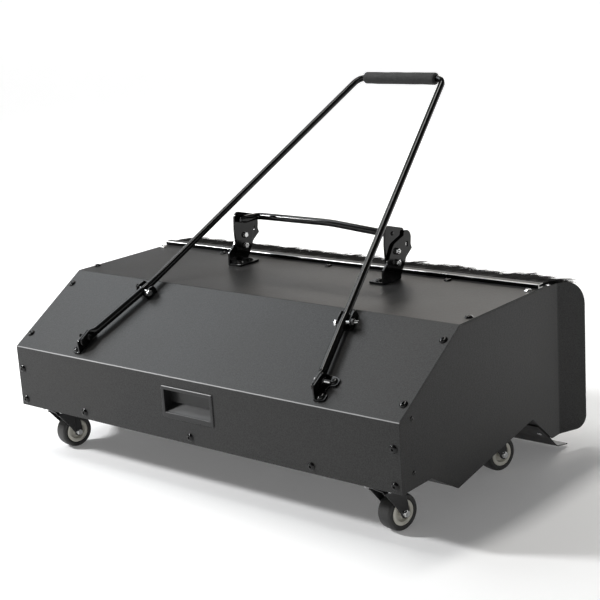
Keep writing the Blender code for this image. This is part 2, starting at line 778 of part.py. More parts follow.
def make_bar_plate(name, side):
    """Inner plate that carries the bail's pivot above the gooseneck."""
    outline = rounded([
        (0.3310, 0.1275, 0.004), (0.3290, 0.1700, 0.020), (0.3320, 0.2050, 0.011),
        (0.3860, 0.1900, 0.006), (0.3820, 0.1640, 0.010), (0.3720, 0.1275, 0.004),
    ], steps=3)
    holes = [circle(y, z, HOLE_RADIUS) for y, z in (*HITCH_BOLTS, BAIL_PIVOT)]
    plate = add_object(name, cross_prism(outline, *BAR_PLATE_X, holes=holes), "gloss_black")
    if side < 0:
        mirror(plate)


def make_bail():
    """Release bail: a bent bar whose two flattened legs pivot on the bar plates."""
    leg_x = 0.1620
    bar_y = 0.3870
    left = [(-leg_x, 0.3390, 0.1870), (-leg_x, 0.3510, 0.1870), (-leg_x, 0.3680, 0.1866)]
    right = [(leg_x, 0.3680, 0.1828), (leg_x, 0.3510, 0.1870), (leg_x, 0.3390, 0.1900)]
    elbow = 0.012
    path = []
    for point, thick, high in ((left[0], 0.0040, 0.0045), (left[1], 0.0045, 0.0072),
                               (left[2], 0.0050, 0.0070)):
        path.append((world(*point), thick, high))
    corners = ((-leg_x, 0.1862), (leg_x, 0.1745))
    path += bend_sections(world(-leg_x, bar_y, corners[0][1]), elbow, outward=-1)
    path.append((world(-0.010, bar_y, 0.1862), BAIL_RADIUS, BAIL_RADIUS))
    path.append((world(0.020, bar_y, 0.1850), BAIL_RADIUS, BAIL_RADIUS))
    path += bend_sections(world(leg_x, bar_y, corners[1][1]), elbow, outward=1)
    for point, thick, high in ((right[0], 0.0050, 0.0070), (right[1], 0.0045, 0.0072),
                               (right[2], 0.0040, 0.0045)):
        path.append((world(*point), thick, high))
    axis = world(0, *BAIL_PIVOT)
    bail = add_about("release_bail", sweep(path, TOP_NORMAL), "gloss_black", axis)
    pin = spindle([(SHANK_RADIUS, -0.0020, 0), (SHANK_RADIUS, 0.0120, 0), (0.0020, 0.0130, 0)])
    pins = [moved(pin, standing((side * leg_x, 0, 0), (side, 0, 0))) for side in (-1, 1)]
    boolean(bail, joined(pins), "UNION")


def bend_sections(corner, reach, outward):
    """Round sections through the bail's elbow, from its leg into its bar or back."""
    leg = corner + Vector((0, -reach, 0))
    bar = corner + Vector((-outward * reach, 0, 0))
    ends = (leg, bar) if outward < 0 else (bar, leg)
    curve = [ends[0].lerp(corner, s).lerp(corner.lerp(ends[1], s), s) for s in (0, 0.3, 0.7, 1)]
    return [(point, BAIL_RADIUS, BAIL_RADIUS) for point in curve]


def make_hitch():
    """Both hitch brackets, the bail and their fasteners."""
    for hand, side in (("left", -1), ("right", 1)):
        make_hook_plate(f"hook_plate_{hand}", side)
        make_bar_plate(f"bar_plate_{hand}", side)
        for level, (y, z) in zip(("upper", "lower"), HITCH_BOLTS):
            bolt = hex_bolt(HOOK_PLATE_X[1] - BAR_PLATE_X[0])
            add_object(f"hitch_bolt_{level}_{hand}", moved(bolt, standing((0, 0, 0), (-side, 0, 0))),
                       "zinc", world(side * BAR_PLATE_X[0], y, z))
    make_bail()
    add_screws("hitch_foot_screw", hitch_foot_places(), 0.004, 0.012)


# ---------------------------------------------------------------- casters
def square_ring(half_x, half_y, corner, height):
    """A rounded rectangle as 16 points, to loft into round steps."""
    outline = rounded([(half_x, -half_y, corner), (half_x, half_y, corner),
                       (-half_x, half_y, corner), (-half_x, -half_y, corner)], steps=3)
    return [(a, b, height) for a, b in outline]


def round_ring(radius, height):
    """A circle as 16 points that starts at the same corner as square_ring."""
    angles = [math.radians(-67.5 + 22.5 * k) for k in range(16)]
    return [(radius * math.cos(t), radius * math.sin(t), height) for t in angles]


def caster_plate_shape():
    """Mounting plate, bearing race and kingpin in one; z = 0 is the plate's top."""
    rings = [square_ring(0.030, 0.026, 0.005, -GAP), square_ring(0.030, 0.026, 0.005, -0.0028)]
    for radius, height in ((0.020, -0.0028), (0.020, -0.0085), (0.017, -0.0112), (0.0050, -0.0112),
                           (0.0050, -0.0143), (0.0080, -0.0143), (0.0080, -0.0160), (0.0050, -0.0172)):
        rings.append(round_ring(radius, height))
    return loft(rings)


def fork_shape():
    """Pressed fork: a crown under the race and two legs that trail back to the axle."""
    axle_drop = CREASE_Z + PLATFORM_Z - WHEEL_RADIUS
    thickness = 0.0025
    crown_top = -0.0115
    leg_x = 0.0188
    half = []
    for drop, reach in ((0.0080, 0.0015), (0.0072, 0.0045), (0.0045, 0.0070), (0.0, 0.0080)):
        half.append((leg_x, -axle_drop - drop, CASTER_TRAIL, reach))
    for share in (0.35, 0.70, 0.92):
        z = -axle_drop + share * (axle_drop + crown_top - 0.003)
        half.append((leg_x, z, CASTER_TRAIL * (1 - share) + 0.002, 0.008 + 0.012 * share))
    half.append((leg_x - 0.0030, crown_top - 0.0006, 0.002, 0.0200))
    half.append((leg_x - 0.0070, crown_top, 0.002, 0.0200))
    stations = half + [(-x, z, y, reach) for x, z, y, reach in half[::-1]]
    rings = []
    for i, (x, z, y, reach) in enumerate(stations):
        before = stations[max(i - 1, 0)]
        after = stations[min(i + 1, len(stations) - 1)]
        along = unit((before[0], before[1]), (after[0], after[1]))
        inward = Vector((-along.y, along.x)) * thickness
        rings.append([(x, y - reach, z), (x, y + reach, z),
                      (x + inward.x, y + reach, z + inward.y), (x + inward.x, y - reach, z + inward.y)])
    return loft(rings)


def tyre_shape():
    """Tyre with rounded shoulders."""
    w = WHEEL_HALF_WIDTH
    r = WHEEL_RADIUS
    shoulder = [(0.0210, -w + 0.001), (0.0245, -w), (r - 0.0020, -w + 0.002), (r - 0.0004, -w + 0.006),
                (r, -w + 0.010)]
    return turned_ring(shoulder + [(radius, -x) for radius, x in shoulder[::-1]], count=24)


def hub_shape():
    """Hub with a flat outer ring, a recessed web and a boss around the axle."""
    side = [(0.0207, -0.0132), (0.0140, -0.0136), (0.0130, -0.0080), (0.0065, -0.0080),
            (0.0065, -0.0155), (HOLE_RADIUS, -0.0155)]
    return turned_ring(side + [(radius, -x) for radius, x in side[::-1]], count=16)


def make_caster(name, centre):
    """One caster: plate, fork, tyre, hub and axle bolt."""
    turn = math.radians(CASTER_SWIVEL[name])
    axle = Vector((0, CASTER_TRAIL, WHEEL_RADIUS - CREASE_Z - PLATFORM_Z))
    plate = add_object(f"caster_plate_{name}", caster_plate_shape(), "gloss_black", centre)
    drill(plate, [p for p in caster_bolt_places() if (p[0] - centre).length < 0.05])
    fork = add_object(f"caster_fork_{name}", fork_shape(), "gloss_black", centre, turn)
    hole = spindle([(HOLE_RADIUS, -0.03, 0), (HOLE_RADIUS, 0.03, 0)], count=12)
    boolean(fork, moved(hole, standing(axle, (1, 0, 0))))
    kingpin_hole = spindle([(0.0054, -0.018, 0), (0.0054, -0.008, 0)], count=16)
    boolean(fork, kingpin_hole)
    hub_centre = centre + Matrix.Rotation(turn, 3, "Z") @ axle
    add_object(f"tyre_{name}", tyre_shape(), "rubber", hub_centre, turn)
    add_object(f"wheel_hub_{name}", hub_shape(), "hub_plastic", hub_centre, turn)
    bolt = moved(hex_bolt(0.0376), standing((0.0188, 0, 0), (1, 0, 0)))
    add_object(f"axle_bolt_{name}", bolt, "zinc", hub_centre, turn)


def make_casters():
    """The four casters."""
    for name, centre in caster_centres():
        make_caster(name, centre)


def main():
    """Build every piece of the hopper."""
    clear_scene()
    make_hood()
    make_side_panel("side_panel_left", -1)
    make_side_panel("side_panel_right", 1)
    make_tray()
    make_lip()
    make_stiffeners()
    make_grip_cup()
    make_brush()
    make_handle()
    make_hitch()
    make_casters()


main()
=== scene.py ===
"""Looks of the dirt hopper of a push sweeper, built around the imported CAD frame.

Metres, +Z up. Every piece is built in the frame's own coordinates, and rides on a body.
"""
import math
import random

import bmesh
import bpy
from mathutils import Matrix, Vector
from mathutils.geometry import tessellate_polygon


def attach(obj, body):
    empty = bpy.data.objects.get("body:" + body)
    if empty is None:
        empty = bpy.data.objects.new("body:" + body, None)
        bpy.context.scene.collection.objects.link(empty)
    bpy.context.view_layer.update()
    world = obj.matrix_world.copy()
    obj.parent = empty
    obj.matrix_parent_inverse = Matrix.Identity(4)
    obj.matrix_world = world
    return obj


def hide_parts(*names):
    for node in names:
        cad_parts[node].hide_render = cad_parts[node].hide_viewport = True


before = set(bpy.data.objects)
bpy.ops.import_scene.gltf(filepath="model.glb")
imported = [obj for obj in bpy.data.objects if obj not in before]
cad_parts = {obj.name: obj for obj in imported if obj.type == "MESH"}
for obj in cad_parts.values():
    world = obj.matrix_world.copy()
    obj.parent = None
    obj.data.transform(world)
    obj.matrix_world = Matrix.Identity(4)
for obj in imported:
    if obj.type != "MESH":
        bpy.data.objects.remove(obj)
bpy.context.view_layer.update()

# The (y, z) outlines below are measured from the crease between the front panel and the
# slanted panel, and these two values put that crease in the frame.
FRONT_Y = -0.3245
CREASE_Z = 0.198

GAP = 0.0003
SHEET = 0.002
HALF_WIDTH = 0.425
FRONT_HEIGHT = 0.1112
SLANT_RUN = 0.1665
SLANT_RISE = 0.105
HOOD_DEPTH = 0.430
SLOPE = math.atan2(SLANT_RISE, SLANT_RUN)
FLANGE_WIDTH = 0.025
WING_BEND_Y = 0.460
WING_LENGTH = 0.061
WING_ANGLE = math.radians(22)
WHEEL_RADIUS = 0.030
WHEEL_HALF_WIDTH = 0.014
CASTER_TRAIL = 0.022
CASTER_X = 0.366
CASTER_FRONT_Y = 0.038
CASTER_REAR_Y = 0.322
PLATFORM_Z = -0.1105
CASTER_SWIVEL = {"front_left": -12, "front_right": -12, "rear_left": -20, "rear_right": -15}
FOOT_X = {"left": -0.2581, "right": 0.2591}
FOOT_AXIS = (0.0280, 0.0317)
MIDDLE_POINT = (0.1336, 0.0978)
MIDDLE_X = {"left": -0.2175, "right": 0.2310}
CORNER_X = 0.0972
CORNER_POINT = (0.6393, 0.4150)
LOWER_TUBE_RADIUS = 0.007
LOWER_TUBE_BORE = 0.0063
UPPER_TUBE_RADIUS = 0.006
GRIP_RADIUS = 0.0115
GRIP_LENGTH = 0.164
BRACKET_BOLT = {"left": -0.001, "right": -0.008}
BRACKET_FACES = {"left": (-0.0150, 0.0175), "right": (-0.0100, 0.0160)}
BRACKET_ENDS = {"left": (-0.0080, 0.0150), "right": (-0.0070, 0.0250)}
BRACKET_SHEET = 0.0025
FOOT_SCREWS = ((0.273, 0.0175), (0.278, 0.049))
BAR_PLATE_X = (0.1690, 0.1730)
HOOK_PLATE_X = (0.1733, 0.1773)
HITCH_BOLTS = ((0.3555, 0.1555), (0.3555, 0.1355))
BAIL_PIVOT = (0.351, 0.187)
BAIL_RADIUS = 0.0065
SHANK_RADIUS = 0.003
HEX_RADIUS = 0.0058
NUT_HEIGHT = 0.005
RAIL_HEIGHT = 0.0072
LIP_SLOPE = math.atan2(0.1640 + PLATFORM_Z, 0.4365 - 0.3730)
LIP_THICKNESS = 0.0022
CUP_FLOOR_FRONT = -0.0625       # the grip recess's floor, at its front edge
FOOT_SHEET = 0.003              # thickness of a handle foot
FOOT_GRIP = 0.0087              # what a foot bolt clamps: the flattened tube and the ear
HITCH_FOOT_SHEET = 0.004
PIVOT_HOLE_RADIUS = 0.0034
CASTER_PLATE_SHEET = 0.0028
FORK_HALF_WIDTH = 0.0188

CAMERA_PLACE = (1.5360, -1.8414, 0.8726)
CAMERA_YAW = math.radians(-40.18)
CAMERA_PITCH = math.radians(14.43)
CAMERA_ROLL = math.radians(-3.78)
CAMERA_LENS = 83.1
WORLD_STRENGTH = 0.07
FLOOR_GLOW_NEAR = 0.12
FLOOR_GLOW_FAR = 0.75
SOFTBOXES = {                   # name: (place, target, size, watts, colour)
    "overhead": ((-0.3, 0.15, 2.5), (-0.3, 0.5, 0.2), (0.38, 1.7), 27, (1, 0.985, 0.955)),
    "left": ((-2.05, -0.1, 2.35), (-0.1, 0, 0.2), (1.6, 1.6), 29, (0.93, 0.97, 1)),
    "front_left": ((-2.5, -1.75, 2.3), (0, 0, 0.2), (0.4, 0.5), 118, (0.99, 0.995, 1)),
    "back": ((-1.3, 2.3, 1.9), (0, 0.1, 0.25), (1.4, 0.9), 12, (1, 0.95, 0.88)),
    "rear_fill": ((-0.3, 3.4, 0.9), (0, 0.2, 0.15), (1.6, 1.0), 26, (1, 0.99, 0.97)),
}

FRONT_NORMAL = Vector((0, -1, 0))
TOP_NORMAL = Vector((0, 0, 1))
SLANT_NORMAL = Vector((0, -math.sin(SLOPE), math.cos(SLOPE)))


# ---------------------------------------------------------------- materials
class Nodes:
    """A new material's node tree, with short calls for the nodes used here."""

    def __init__(self, name):
        self.material = bpy.data.materials.new(name)
        self.material.use_nodes = True
        self.tree = self.material.node_tree
        self.shader = self.tree.nodes["Principled BSDF"]
        self.place = self.add("ShaderNodeTexCoord").outputs["Object"]

    def add(self, kind, **inputs):
        """A node, with its inputs set to a value or linked from a socket."""
        node = self.tree.nodes.new(kind)
        for name, value in inputs.items():
            self.put(node.inputs[name.replace("_", " ")], value)
        return node

    def put(self, socket, value):
        """Set a socket to a value, or link another socket to it."""
        if isinstance(value, bpy.types.NodeSocket):
            self.tree.links.new(value, socket)
        else:
            socket.default_value = value

    def stretched(self, scale):
        """The object's coordinates, stretched by a scale on each axis."""
        return self.add("ShaderNodeMapping", Vector=self.place, Scale=scale).outputs["Vector"]

    def noise(self, scale, detail=2.0, vector=None, roughness=0.5):
        """Noise of that many cells per metre, as a value from 0 to 1."""
        node = self.add("ShaderNodeTexNoise", Vector=vector or self.place, Scale=scale,
                        Detail=detail, Roughness=roughness)
        return node.outputs["Fac"]

    def cells(self, scale):
        """The distance to the nearest of that many cells per metre."""
        return self.add("ShaderNodeTexVoronoi", Vector=self.place, Scale=scale).outputs["Distance"]

    def spread(self, value, low, high, start=0.3, end=0.7):
        """A value between start and end carried to the range from low to high."""
        node = self.add("ShaderNodeMapRange", Value=value)
        for name, number in (("From Min", start), ("From Max", end),
                             ("To Min", low), ("To Max", high)):
            node.inputs[name].default_value = number
        return node.outputs["Result"]

    def both(self, operation, first, second):
        """A mathematical operation on two values."""
        node = self.add("ShaderNodeMath")
        node.operation = operation
        self.put(node.inputs[0], first)
        self.put(node.inputs[1], second)
        return node.outputs[0]

    def mix(self, factor, first, second):
        """Two colours mixed by a factor."""
        node = self.tree.nodes.new("ShaderNodeMix")
        node.data_type = "RGBA"
        self.put(node.inputs["Factor"], factor)
        self.put(node.inputs[6], first)
        self.put(node.inputs[7], second)
        return node.outputs[2]

    def bump(self, height, strength, distance, under=None):
        """A bumped normal, over another bump if one is given."""
        node = self.add("ShaderNodeBump", Height=height, Strength=strength, Distance=distance)
        if under is not None:
            self.put(node.inputs["Normal"], under)
        return node.outputs["Normal"]

    def finish(self, colour, roughness, normal, **fixed):
        """Link the shader's colour, roughness and normal, and set its other inputs."""
        self.put(self.shader.inputs["Base Color"], colour)
        self.put(self.shader.inputs["Roughness"], roughness)
        self.put(self.shader.inputs["Normal"], normal)
        for name, value in fixed.items():
            self.shader.inputs[name.replace("_", " ")].default_value = value
        return self.material


def shade(colour, factor=1.0):
    """A colour with its alpha, made lighter or darker by a factor."""
    return tuple(min(1.0, channel * factor) for channel in colour) + (1.0,)


def grey(level):
    """A neutral colour with its alpha."""
    return (level, level, level, 1.0)


def powder_coat_material():
    """Satin powder coat: orange peel, light and dark grains, and a painted highlight along the front
    crease.
    """
    n = Nodes("powder_coat")
    grain = n.noise(520, detail=3)
    peel = n.noise(210, detail=1)
    cloud = n.noise(5, detail=2)
    base = (0.0192, 0.0194, 0.0197)
    colour = n.mix(n.spread(grain, 0, 1), shade(base, 0.50), shade(base, 1.60))
    colour = n.mix(n.spread(cloud, 0, 0.35), colour, shade((0.031, 0.030, 0.028)))
    point = n.add("ShaderNodeSeparateXYZ", Vector=n.place).outputs
    # Painted highlight: the crease between the front and slanted panels is coloured pale as if it caught
    # the light.
    crease_highlight = n.both("MULTIPLY", n.spread(point["Y"], 1, 0, FRONT_Y + 0.0006, FRONT_Y + 0.0013),
                  n.spread(point["Z"], 0, 1, CREASE_Z - 0.0013, CREASE_Z - 0.0007))
    colour = n.mix(n.both("MULTIPLY", crease_highlight, n.spread(cloud, 0.7, 1)), colour, grey(0.34))
    normal = n.bump(peel, 0.22, 0.0005)
    normal = n.bump(grain, 0.32, 0.0002, normal)
    return n.finish(colour, n.spread(cloud, 0.34, 0.40), normal, Specular_IOR_Level=0.22)


def gloss_black_material():
    """Gloss black enamel with a slight waviness."""
    n = Nodes("gloss_black")
    wave = n.noise(85, detail=1)
    dust = n.noise(900, detail=2)
    colour = n.mix(n.spread(dust, 0, 1), grey(0.0018), grey(0.0036))
    normal = n.bump(wave, 0.10, 0.0004)
    return n.finish(colour, n.spread(dust, 0.07, 0.12), normal, Specular_IOR_Level=0.32)


def caster_steel_material():
    """Black dip coat of pressed steel: less gloss, with faint draw marks."""
    n = Nodes("caster_steel")
    marks = n.noise(140, detail=3, vector=n.stretched((1, 1, 0.25)))
    fine = n.noise(800, detail=2)
    colour = n.mix(n.spread(fine, 0, 1), grey(0.0085), shade((0.015, 0.015, 0.016)))
    normal = n.bump(marks, 0.18, 0.0003)
    return n.finish(colour, n.spread(marks, 0.26, 0.38), normal)


def zinc_material():
    """Bright zinc plate with soft stains and fine turning marks."""
    n = Nodes("zinc")
    stain = n.noise(260, detail=3)
    fine = n.noise(1500, detail=2)
    colour = n.mix(n.spread(stain, 0, 1), shade((0.60, 0.61, 0.62)), shade((0.80, 0.80, 0.79)))
    return n.finish(colour, n.spread(stain, 0.14, 0.28), n.bump(fine, 0.15, 0.00008), Metallic=1.0)


def rail_material():
    """Black rolled strip whose cut ends show brushed metal; a thin metal-coloured line along its top
    front edge is a painted highlight.
    """
    n = Nodes("rail_steel")
    lines = n.noise(700, detail=3, vector=n.stretched((0.01, 1, 1)))
    stain = n.noise(18, detail=2)
    # Brushed-metal colour, used for the cut ends and for the painted highlight line on the top edge.
    bare_metal_and_highlight = n.mix(n.spread(lines, 0, 1), grey(0.34), shade((0.56, 0.56, 0.55)))
    black = n.mix(n.spread(lines, 0, 1), grey(0.006), grey(0.011))
    point = n.add("ShaderNodeSeparateXYZ", Vector=n.place).outputs
    top = CREASE_Z + SLANT_RISE + GAP + RAIL_HEIGHT
    at_front = n.spread(point["Y"], 1, 0, FRONT_Y + 0.4030, FRONT_Y + 0.4034)
    # Painted highlight: a thin line along the top front edge takes the brushed-metal colour.
    top_edge_highlight = n.both("MULTIPLY", at_front, n.spread(point["Z"], 0, 1, top - 0.0012, top - 0.0009))
    right_end = n.both("COMPARE", point["X"], HALF_WIDTH)
    left_end = n.both("COMPARE", point["X"], -HALF_WIDTH)
    for end in (right_end, left_end):
        end.node.inputs[2].default_value = 0.0004
    bare_ends_and_highlight = n.both("MAXIMUM", top_edge_highlight, n.both("MAXIMUM", right_end, left_end))
    colour = n.mix(bare_ends_and_highlight, black, bare_metal_and_highlight)
    rough = n.spread(stain, 0.26, 0.36)
    return n.finish(colour, rough, n.bump(lines, 0.25, 0.0001), Metallic=1.0)


def bristle_material():
    """Black polypropylene fibre; each strand has its own shade."""
    n = Nodes("bristle")
    strand = n.add("ShaderNodeNewGeometry").outputs["Random Per Island"]
    along = n.noise(300, detail=2)
    colour = n.mix(strand, grey(0.0018), shade((0.0065, 0.0062, 0.0060)))
    return n.finish(colour, n.spread(along, 0.62, 0.80), n.bump(along, 0.2, 0.0002),
                    Specular_IOR_Level=0.10)


def rubber_material(name, base, scale, rough, specular=0.5):
    """Matte rubber with a fine moulded grain and a trace of dust."""
    n = Nodes(name)
    grain = n.noise(scale, detail=3)
    dust = n.noise(60, detail=3)
    colour = n.mix(n.spread(grain, 0, 1), shade(base, 0.75), shade(base, 1.25))
    colour = n.mix(n.spread(dust, 0, 0.25), colour, shade((0.06, 0.057, 0.052)))
    return n.finish(colour, n.spread(dust, rough - 0.06, rough + 0.08),
                    n.bump(grain, 0.30, 0.0002), Specular_IOR_Level=specular)


def plastic_material(name, base, grain_scale, rough, depth, specular=0.5, highlight_above=9.0):
    """Moulded plastic with a spark-eroded grain; above a given height the colour is painted pale as a
    highlight on an edge.
    """
    n = Nodes(name)
    grain = n.noise(grain_scale, detail=2)
    broad = n.noise(40, detail=2)
    colour = n.mix(n.spread(broad, 0, 1), shade(base, 0.90), shade(base, 1.10))
    height = n.add("ShaderNodeSeparateXYZ", Vector=n.place).outputs["Z"]
    # Painted highlight: above that height the colour turns pale.
    edge_highlight = n.spread(height, 0, 1, highlight_above, highlight_above + 0.0004)
    colour = n.mix(edge_highlight, colour, grey(0.30))
    return n.finish(colour, n.spread(grain, rough - 0.05, rough + 0.05),
                    n.bump(grain, depth, 0.0002), Specular_IOR_Level=specular)


def foam_material():
    """Closed-cell foam: small open cells in a matte skin."""
    n = Nodes("foam")
    cells = n.cells(1100)
    lumps = n.noise(160, detail=2)
    colour = n.mix(n.spread(cells, 0, 1, 0.1, 0.6), grey(0.006), grey(0.018))
    normal = n.bump(lumps, 0.25, 0.0006)
    normal = n.bump(cells, 0.55, 0.0004, normal)
    return n.finish(colour, n.spread(lumps, 0.78, 0.92), normal, Sheen_Weight=0.06)


LOOKS = {
    "powder_coat": powder_coat_material(),
    "gloss_black": gloss_black_material(),
    "caster_steel": caster_steel_material(),
    "lip_rubber": rubber_material("lip_rubber", (0.005, 0.005, 0.005), 500, 0.42, 0.25),
    "rail_steel": rail_material(),
    "bristle": bristle_material(),
    # The grip recess's top bezel edge gets a painted highlight above this height.
    "black_plastic": plastic_material("black_plastic", (0.009, 0.0092, 0.0095), 900, 0.34, 0.25,
                                      specular=0.36, highlight_above=CREASE_Z - 0.0182),
    "foam": foam_material(),
    "tyre": rubber_material("tyre", (0.012, 0.012, 0.012), 700, 0.52),
    "hub_plastic": plastic_material("hub_plastic", (0.50, 0.485, 0.43), 500, 0.42, 0.15),
    "zinc": zinc_material(),
}


# ---------------------------------------------------------------- outlines
def unit(a, b):
    """The direction from point a to point b."""
    return (Vector(b) - Vector(a)).normalized()


def rounded(corners, steps=8, closed=True):
    """Outline through corners (a, b, radius), with an arc at each corner's radius."""
    points = []
    count = len(corners)
    for i, (a, b, radius) in enumerate(corners):
        corner = Vector((a, b))
        at_end = not closed and i in (0, count - 1)
        if radius == 0 or at_end:
            points.append(corner)
            continue
        to_last = unit(corner, corners[i - 1][:2])
        to_next = unit(corner, corners[(i + 1) % count][:2])
        half = math.acos(max(-1, min(1, to_last.dot(to_next)))) / 2
        centre = corner + (to_last + to_next).normalized() * radius / math.sin(half)
        first = corner + to_last * radius / math.tan(half) - centre
        last = corner + to_next * radius / math.tan(half) - centre
        sweep_angle = first.angle_signed(last)
        for k in range(steps + 1):
            points.append(centre + Matrix.Rotation(-sweep_angle * k / steps, 2) @ first)
    return points


def circle(a, b, radius, count=24):
    """A round outline."""
    angles = [2 * math.pi * k / count for k in range(count)]
    return [Vector((a + radius * math.cos(t), b + radius * math.sin(t))) for t in angles]


def offset_path(points, distance):
    """A path beside an open path, to the right of its direction of travel."""
    result = []
    for i, point in enumerate(points):
        ahead = unit(point, points[i + 1]) if i + 1 < len(points) else None
        behind = unit(points[i - 1], point) if i else ahead
        ahead = ahead or behind
        along = (ahead + behind).normalized()
        result.append(Vector(point) + Vector((along.y, -along.x)) * distance / along.dot(ahead))
    return result


def band(path, inner, outer, edge=0.0005):
    """The closed outline between two offsets of a path, with its four corners rounded."""
    first = offset_path(path, inner)
    second = offset_path(path, outer)[::-1]
    corners = []
    for run in (first, second):
        for i, point in enumerate(run):
            corners.append((point.x, point.y, edge if i in (0, len(run) - 1) else 0))
    return rounded(corners, steps=3)


def turning(loop):
    """1 for an outline that runs counter-clockwise, else -1."""
    area = sum(a.x * b.y - b.x * a.y for a, b in zip(loop, loop[1:] + loop[:1]))
    return 1 if area > 0 else -1


def shrunk(loop, distance, hole=False):
    """A closed outline moved into the material by a distance."""
    inward = turning(loop) * (-1 if hole else 1)
    result = []
    for i, point in enumerate(loop):
        behind = unit(loop[i - 1], point)
        ahead = unit(point, loop[(i + 1) % len(loop)])
        along = (behind + ahead).normalized()
        reach = min(distance / max(along.dot(ahead), 0.4), distance * 2)
        result.append(point + Vector((-along.y, along.x)) * reach * inward)
    return result


# ---------------------------------------------------------------- solids
def loft(rings, closed=False):
    """Skin equal rings of points; the ends are capped unless the rings form a loop."""
    count = len(rings[0])
    verts = [Vector(point) for ring in rings for point in ring]
    faces = []
    for i in range(len(rings) if closed else len(rings) - 1):
        a = i * count
        b = (i + 1) % len(rings) * count
        for j in range(count):
            k = (j + 1) % count
            faces.append((a + j, a + k, b + k, b + j))
    if not closed:
        faces.append(tuple(range(count)))
        faces.append(tuple(range(len(verts) - count, len(verts))))
    return verts, faces


def prism(outline, low, high, holes=(), edge=0.0004, steps=3):
    """Extrude an outline of (a, b) points, with holes, and round its edges."""
    outline = [Vector(point) for point in outline]
    loops = [(outline, False)] + [([Vector(p) for p in hole], True) for hole in holes]
    edge = min(edge, (high - low) * 0.45)
    layers = [(low, 0)] if edge <= 0 else []
    for k in range(steps + 1 if edge > 0 else 0):
        angle = math.pi / 2 * k / steps
        layers.append((low + edge * (1 - math.cos(angle)), edge * (1 - math.sin(angle))))
    layers += [(low + high - height, inset) for height, inset in layers[::-1]]
    verts = []
    for height, inset in layers:
        for loop, hole in loops:
            ring = shrunk(loop, inset, hole) if inset > 1e-9 else loop
            verts += [Vector((p.x, p.y, height)) for p in ring]
    count = sum(len(loop) for loop, _ in loops)
    cap = []
    start = 0
    for loop, _ in loops:
        cap.append(verts[start:start + len(loop)])
        start += len(loop)
    triangles = tessellate_polygon(cap)
    last = count * (len(layers) - 1)
    faces = [tuple(t) for t in triangles] + [tuple(last + i for i in t) for t in triangles]
    for layer in range(len(layers) - 1):
        start = layer * count
        for loop, _ in loops:
            for j in range(len(loop)):
                i = start + j
                k = start + (j + 1) % len(loop)
                faces.append((i, k, count + k, count + i))
            start += len(loop)
    return verts, faces


def cross_prism(outline, low, high, holes=(), edge=0.0004):
    """A prism whose (y, z) outline runs along X from low to high, in the frame."""
    verts, faces = prism(outline, low, high, holes, edge)
    return [Vector((v.z, v.x + FRONT_Y, v.y + CREASE_Z)) for v in verts], faces


def spindle(steps, count=24):
    """A turned solid about Z from steps of (radius, height, sides); six sides is a hexagon."""
    rings = []
    for radius, height, sides in steps:
        ring = []
        for k in range(count):
            angle = 2 * math.pi * k / count
            reach = radius
            if sides == 6:
                off_corner = (angle + math.pi / 6) % (math.pi / 3) - math.pi / 6
                reach = radius * math.cos(math.pi / 6) / math.cos(math.pi / 6 - abs(off_corner))
            ring.append((reach * math.cos(angle), reach * math.sin(angle), height))
        rings.append(ring)
    return loft(rings)


def turned_ring(profile, count=64):
    """A ring about X from a closed profile of (radius, x) points."""
    rings = []
    for k in range(count):
        angle = 2 * math.pi * k / count
        rings.append([(x, r * math.cos(angle), r * math.sin(angle)) for r, x in profile])
    return loft(rings, closed=True)


def moved(shape, matrix):
    """A shape with its points carried through a matrix."""
    return [matrix @ Vector(v) for v in shape[0]], shape[1]


def joined(shapes):
    """Several solids as one shape."""
    verts = []
    faces = []
    for shape_verts, shape_faces in shapes:
        start = len(verts)
        verts += shape_verts
        faces += [tuple(start + i for i in face) for face in shape_faces]
    return verts, faces


def upright(shape):
    """A prism stood up, so that its outline's plane is (y, z) and its height runs along X."""
    return [Vector((v.z, v.x, v.y)) for v in shape[0]], shape[1]


def on_side(side, shapes):
    """Shapes of the right-hand side, or their mirror images across X = 0 for side -1."""
    if side > 0:
        return shapes
    return [([Vector((-v[0], v[1], v[2])) for v in verts], faces) for verts, faces in shapes]


def place(x, y, z):
    """A point measured from the crease, in the frame."""
    return Vector((x, y + FRONT_Y, z + CREASE_Z))


def standing(point, normal, spin=0.0):
    """The matrix that stands a shape's Z axis along a normal at a point."""
    turn = TOP_NORMAL.rotation_difference(Vector(normal)).to_matrix().to_4x4()
    return Matrix.Translation(point) @ turn @ Matrix.Rotation(spin, 4, "Z")


# ---------------------------------------------------------------- pieces
def make_object(name, shape, look, sharp=35):
    """A mesh object at the origin, smooth where its faces turn gently."""
    mesh = bpy.data.meshes.new(name)
    mesh.from_pydata([tuple(v) for v in shape[0]], [], shape[1])
    bm = bmesh.new()
    bm.from_mesh(mesh)
    bmesh.ops.recalc_face_normals(bm, faces=bm.faces)
    bm.to_mesh(mesh)
    bm.free()
    mesh.shade_smooth()
    mesh.set_sharp_from_angle(angle=math.radians(sharp))
    mesh.materials.append(LOOKS[look])
    obj = bpy.data.objects.new(name, mesh)
    bpy.context.collection.objects.link(obj)
    return obj


def even_normals(obj):
    """Keep large flat faces flat where they meet a rounded edge."""
    modifier = obj.modifiers.new("even_normals", "WEIGHTED_NORMAL")
    modifier.keep_sharp = True
    modifier.weight = 50
    return obj


def declare(obj, body="box", stands_for=()):
    """Make an object a piece that rides on a body and stands for CAD nodes."""
    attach(obj, body)
    if stands_for:
        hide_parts(*stands_for)
    return obj


def add_piece(name, shape, look, body="box", stands_for=(), flat=True, sharp=35):
    """A finished piece from one shape."""
    obj = make_object(name, shape, look, sharp)
    if flat:
        even_normals(obj)
    return declare(obj, body, stands_for)


